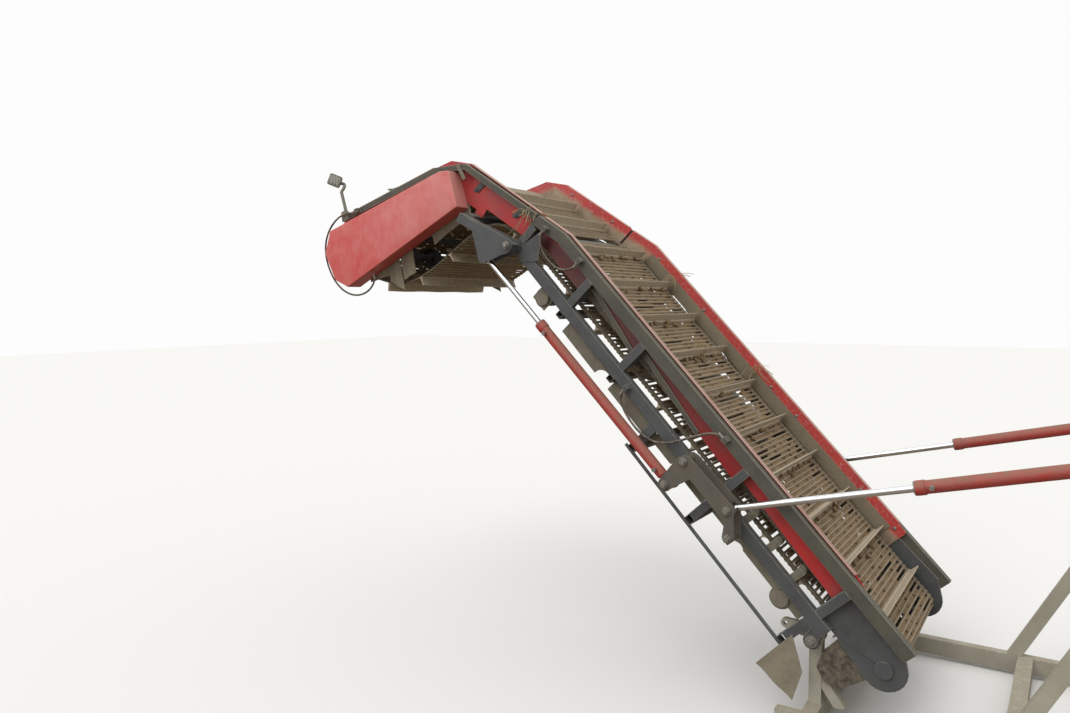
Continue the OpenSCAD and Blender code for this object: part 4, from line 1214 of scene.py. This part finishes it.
def tangle(place, seed, strands, reach, hang):
    """Dried haulm: thin stalks that lie over one place at random and hang down by their weight."""
    chance = np.random.default_rng(seed)
    t = np.linspace(0, 1, 9)[:, None]
    parts = []
    for _ in range(strands):
        ends = chance.normal(0, reach, (2, 3))
        ends[:, 2] = -np.abs(ends[:, 2]) - hang * chance.uniform(0.2, 1, 2)
        middle = chance.normal(0, reach / 4, 3) + [0, 0, reach / 3]
        line = arch(ends[0], middle, ends[1], 8) + 0.004 * np.sin(9 * t + chance.uniform(0, 6, 3))
        parts.append(swept(line + place, circle(chance.uniform(0.0012, 0.0024), 5), side=(0.31, 0.9, 0.23)))
    return joined(*parts)


class ELEVATOR_OT_haulm(bpy.types.Operator):
    """Dried haulm caught on the hinge, the flights and the far wall."""

    bl_idname = "elevator.haulm"
    bl_label = "Dried Haulm"

    def execute(self, context):
        # Body, place, seed, stalks, how far they reach and how far they hang
        for name, body, place, seed, strands, reach, hang in (
                ("hinge_haulm", "head", HEAD.out([-0.050, -0.600, 0.250]), 5, 26, 0.060, 0.080),
                ("wall_haulm", "boom", BOOM.out([station(0.42), 0.560, 0.392]), 9, 14, 0.055, 0.070),
                ("lip_haulm", "boom", BOOM.out([station(1.30), 0.540, 0.385]), 4, 9, 0.060, 0.050),
                ("flight_haulm", "boom", BOOM.out([station(1.02), 0.180, 0.330]), 12, 10, 0.060, 0.030)):
            piece(name, tangle(place, seed, strands, reach, hang), body, "straw")
        return {"FINISHED"}


class ELEVATOR_OT_guard(bpy.types.Operator):
    """The drive's guard, folded from sheet with six corners, and the strap that holds it to the rail."""

    bl_idname = "elevator.guard"
    bl_label = "Drive Guard"

    def execute(self, context):
        outline = rounded([(0.013, 0.037), (-0.062, 0.060), (-1.140, 0.048), (-1.240, -0.090),
                           (-1.203, -0.300), (-1.095, -0.390), (0.012, -0.208)], 0.007)
        out, fold, sheet = -GUARD_OUT, 0.007, 0.003
        # The sheet's inner face, its rim at the wall, and the fold at its outer face
        rows = [(sheet, out + sheet), (sheet, -WALL_OUT - 0.001), (0, -WALL_OUT - 0.001)]
        rows += [(fold * a, out + fold * b)
                 for a, b in ((0, 1), (0.08, 0.6), (0.3, 0.28), (0.62, 0.07), (1, 0))]
        guard = piece("guard_sheet", layered(NOSE, outline, rows), "head", "guard")
        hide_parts("drive_guard")
        # The strap hangs from the rail, outside it
        line = [(x, -RAIL_OUT - 0.003, z)
                for x, z in ((0.050, 0.076), (0.056, 0.045), (0.066, 0.005), (0.076, -0.040))]
        strap = swept(NOSE.out(line), rounded_box(0.006, 0.026, 0.001))
        piece("guard_strap", strap, "head", "skirt")
        return {"FINISHED"}


class ELEVATOR_OT_lamp(bpy.types.Operator):
    """The work lamp on its bent post: a tapered housing, a bezel and a pressed glass."""

    bl_idname = "elevator.lamp"
    bl_label = "Work Lamp"

    def execute(self, context):
        # Distance behind the middle, width and height of the housing's sections
        sections = ((-0.033, 0.088, 0.080), (-0.031, 0.092, 0.084), (-0.020, 0.092, 0.084),
                    (-0.018, 0.086, 0.078), (0.004, 0.084, 0.076), (0.022, 0.066, 0.060), (0.033, 0.046, 0.042))
        parts = [self.rings([(rounded_box(wide, high, 0.012, 4), y) for y, wide, high in sections])]
        for x in (-0.03, -0.015, 0.0, 0.015, 0.03):
            parts.append(swept([(x, 0.002, -0.034), (x, 0.002, 0.034)], rounded_box(0.030, 0.003, 0.001, 1)))
        lamp = piece("lamp_housing", self.placed(joined(*parts)), "head", "olive")
        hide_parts("work_lamp")
        box = rounded_box(0.076, 0.068, 0.010, 4)
        domed = ((1, -0.0325), (0.97, -0.0355), (0.7, -0.0375), (0.3, -0.0385))
        glass = self.rings([(box * k, y) for k, y in domed])
        piece("lamp_lens", self.placed(glass), "head", "lens")
        self.stand()
        return {"FINISHED"}

    def rings(self, rows):
        """A shell over outlines that each stand at a distance behind the lamp's middle."""
        return shell([np.stack([p[:, 0], np.full(len(p), y), p[:, 1]], 1) for p, y in rows])

    def placed(self, part, axes=LAMP_AXES):
        """A part of the lamp where the lamp hangs."""
        return repeated(part, [LAMP_AT], axes)

    def stand(self):
        """The post, bent below the lamp, with the collar and the clamp that hold it, and their bolts."""
        foot = NOSE.out([LAMP_POST_X, LAMP_Y, 0.1295])
        start = LAMP_AT + 0.040 * LAMP_AXES[0]
        bend = LAMP_AT + 0.078 * LAMP_AXES[0] + [0.004, 0, 0.004]
        up = NOSE.out([LAMP_POST_X, LAMP_Y, 0.31])
        curve = arch(start + 0.3 * (bend - start), bend + [0.012, 0, 0.002], up, 8)
        post = swept(np.vstack([[start], curve, [foot]]), circle(0.0115, 14))
        collar = repeated(turned([(0.0175, 0), (0.0175, 0.03), (0.0150, 0.034)], 16), [foot], NOSE.axes)
        outline = [(x + LAMP_POST_X, z) for x, z in (
            (-0.040, 0.089), (0.040, 0.089), (0.040, 0.150), (0.018, 0.166), (-0.030, 0.160))]
        clamp = plate(NOSE, rounded(outline, 0.006), -RAIL_OUT, -RAIL_OUT - 0.005)
        stand = piece("lamp_stand", joined(post, collar, clamp), "head", "olive")
        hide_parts("lamp_post")
        places = NOSE.out([(LAMP_POST_X + x, -RAIL_OUT - 0.005, z)
                           for x, z in ((-0.025, 0.107), (0.025, 0.107), (0.006, 0.145))])
        nut = turned([(0.0135, 0.040), (0.0135, 0.052), (0.0115, 0.053)], 6)
        bolts = joined(repeated(bolt(), places, NOSE.facing(-1) * 0.55), self.placed(nut, LAMP_AXES[[1, 2, 0]]))
        piece("lamp_bolts", bolts, "head", "zinc")


class ELEVATOR_OT_fasteners(bpy.types.Operator):
    """Hexagon bolts on plates and pins, round heads inside the channel and nuts outside it."""

    bl_idname = "elevator.fasteners"
    bl_label = "Bolts and Heads"

    def execute(self, context):
        knee = ((-1.092, 0.120), (-0.642, 0.040), FOLD_TAIL, LIFT_EYE)
        boom_pins = [(BOOM, x, z, KNEE_OUT + 0.009) for x, z in knee] + [(BOOM, 0, 0, PIVOT_PIN_END)]
        head_pins = [(HEAD, 0, 0, LEVER_OUT + 0.0093)]
        frame_pins = [(BASE, *TAIL, MAST_PIN_END)]
        walls = [(BOOM, station(a), 0.350) for a in (0.275, 0.775, 1.475, 1.725, 2.325, 2.625)]
        throat = [(HEAD, x, 0.215) for x in (-0.53, -0.12)] + [(NOSE, x, 0.118) for x in (-0.99, -0.67, -0.27)]
        for body, pins, heads in (
                ("boom", boom_pins, walls), ("head", head_pins, throat), ("frame", frame_pins, [])):
            parts = [on_both_sides(bolt(), pins, 1.25)]
            if heads:
                parts.append(on_both_sides(round_head(), [(*row, CHANNEL_HALF) for row in heads], towards=-1))
                if body == "boom":
                    parts.append(on_both_sides(bolt(), [(*row, WALL_OUT) for row in heads], 0.6))
            piece(body + "_bolts", joined(*parts), body, "zinc")
        return {"FINISHED"}


class ELEVATOR_OT_trim(bpy.types.Operator):
    """Rolled edges of the walls' lips, clips, tabs and rubber flaps."""

    bl_idname = "elevator.trim"
    bl_label = "Lips, Clips and Flaps"

    def execute(self, context):
        lips = {"boom": [(BOOM, (-2.765, 0.3444), (-2.558, 0.396), (-0.135, 0.396))],
                "head": [(HEAD, (-0.616, 0.252), (0.025, 0.250)), (NOSE, (-1.058, 0.143), (-0.168, 0.143))]}
        for body, lines in lips.items():
            parts = [swept(plane.out([(x, side * y, z) for x, z in line]), circle(0.0034, 8))
                     for plane, *line in lines for side in (-1, 1) for y in LIP_RIMS]
            piece(body + "_rolled_lips", joined(*parts), body, "lip")
        # Clips that hold the throat's walls under the rail: their upper and lower ends
        clips = []
        half = np.array([0.022, 0.004])
        for top, low in np.array([((-0.470, 0.200), (-0.505, 0.112)), ((-0.112, 0.200), (-0.150, 0.124))]):
            outline = rounded([top - half, top + half, low + half, low - half], 0.004)
            clips.append(plate(HEAD, outline, -WALL_OUT - 0.0003, -WALL_OUT - 0.008))
            x, z = low * 0.8 + top * 0.2
            clips.append(repeated(bolt(), [HEAD.out([x, -WALL_OUT - 0.008, z])], HEAD.facing(-1) * 0.6))
        piece("throat_clips", joined(*clips), "head", "frame")
        tab = plate(NOSE, rounded([(-0.475, 0.131), (-0.560, 0.131), (-0.600, 0.158), (-0.592, 0.164),
                                   (-0.545, 0.148), (-0.475, 0.140)], 0.003), -0.600, -0.606)
        piece("rail_tab", tab, "head", "olive")
        # Flaps inside the walls of the nose: the ends of their upper and lower edges, and how far they curl
        nose_flaps = ((((-1.110, -0.050), (-0.975, -0.110)), ((-1.130, -0.235), (-0.985, -0.290)), 0.010),
                      (((-0.966, -0.100), (-0.772, -0.120)), ((-0.985, -0.386), (-0.790, -0.400)), 0.014),
                      (((-0.767, -0.110), (-0.666, -0.110)), ((-0.800, -0.440), (-0.690, -0.543)), 0.010),
                      (((-0.655, -0.110), (-0.520, -0.110)), ((-0.672, -0.470), (-0.560, -0.455)), 0.010))
        parts = [flap(NOSE, top, low, side * NOSE_FLAP_Y, -curl if side > 0 else 0.3 * -curl)
                 for top, low, curl in nose_flaps for side in (-1, 1)]
        piece("nose_flaps", joined(*parts), "head", "flap")
        # The foot's flap hangs over the near cheek
        foot = flap(BOOM, ((-0.078, -0.060), (0.096, -0.149)), ((-0.063, -0.330), (0.180, -0.293)),
                    FOOT_FLAP_Y, -0.006)
        piece("foot_flap", foot, "boom", "flap")
        return {"FINISHED"}


class ELEVATOR_OT_cylinders(bpy.types.Operator):
    """Glands at the rods and nuts on the ports of the barrels."""

    bl_idname = "elevator.cylinders"
    bl_label = "Cylinder Fittings"

    def execute(self, context):
        nut = turned([(0.0125, 0), (0.0135, 0.001), (0.0135, 0.011), (0.0125, 0.012)], 6)
        # Name, body, plane, length, bare rod, radius of the barrel and of the rod
        for name, body, plane, length_, bare, barrel_r, rod_r in (
                ("lift", "lift_barrels", LIFT, LIFT_LEN, LIFT_BARE, 0.032, 0.018),
                ("fold", "boom", FOLD, FOLD_LEN, FOLD_BARE, 0.031, 0.016)):
            gland = length_ - EYE_R - bare
            ring = turned([(rod_r + 0.0015, 0.0), (barrel_r + 0.001, 0.0), (barrel_r + 0.002, 0.002),
                           (barrel_r + 0.002, 0.007), (rod_r + 0.006, 0.009), (rod_r + 0.0015, 0.009)], 28)
            parts = []
            for side in (-1, 1):
                parts.append(repeated(ring, [plane.out([gland + 0.0003, side * CYL_Y, 0])], plane.ahead()))
                for x in (gland - 0.076, NECK_END + 0.044):
                    out = side * (CYL_Y + barrel_r + 0.0122)
                    parts.append(repeated(nut, [plane.out([x, out, 0])], plane.facing(side)))
            piece(name + "_glands", joined(*parts), body, "zinc")
        return {"FINISHED"}


PROPERTY_GROUPS = {"elevator_colours": ElevatorColours, "elevator_belt": BeltSizes,
                   "elevator_fasteners": FastenerSizes, "elevator_camera": CameraSettings}
OPERATORS = (ELEVATOR_OT_stage, ELEVATOR_OT_hoses, ELEVATOR_OT_frame, ELEVATOR_OT_belt, ELEVATOR_OT_soil,
             ELEVATOR_OT_haulm, ELEVATOR_OT_guard, ELEVATOR_OT_lamp, ELEVATOR_OT_fasteners, ELEVATOR_OT_trim,
             ELEVATOR_OT_cylinders)


class ELEVATOR_PT_panel(bpy.types.Panel):
    """Buttons for the stage and for each group of pieces."""

    bl_idname = "ELEVATOR_PT_panel"
    bl_label = "Discharge Elevator"
    bl_space_type = "VIEW_3D"
    bl_region_type = "UI"
    bl_category = "Elevator"

    def draw(self, context):
        for operator in OPERATORS:
            self.layout.operator(operator.bl_idname)


CLASSES = (*PROPERTY_GROUPS.values(), *OPERATORS, ELEVATOR_PT_panel)


def register():
    """Registers the classes and puts the property groups on the scene."""
    for cls in CLASSES:
        bpy.utils.register_class(cls)
    for name, group in PROPERTY_GROUPS.items():
        setattr(bpy.types.Scene, name, PointerProperty(type=group))


def unregister():
    """Takes the property groups and the classes away again."""
    for name in PROPERTY_GROUPS:
        delattr(bpy.types.Scene, name)
    for cls in reversed(CLASSES):
        bpy.utils.unregister_class(cls)


def main():
    """Registers the add-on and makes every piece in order."""
    register()
    FINISH.update(finishes())
    for operator in OPERATORS:
        getattr(bpy.ops.elevator, operator.bl_idname.split(".")[1])()


if __name__ == "__main__":
    main()
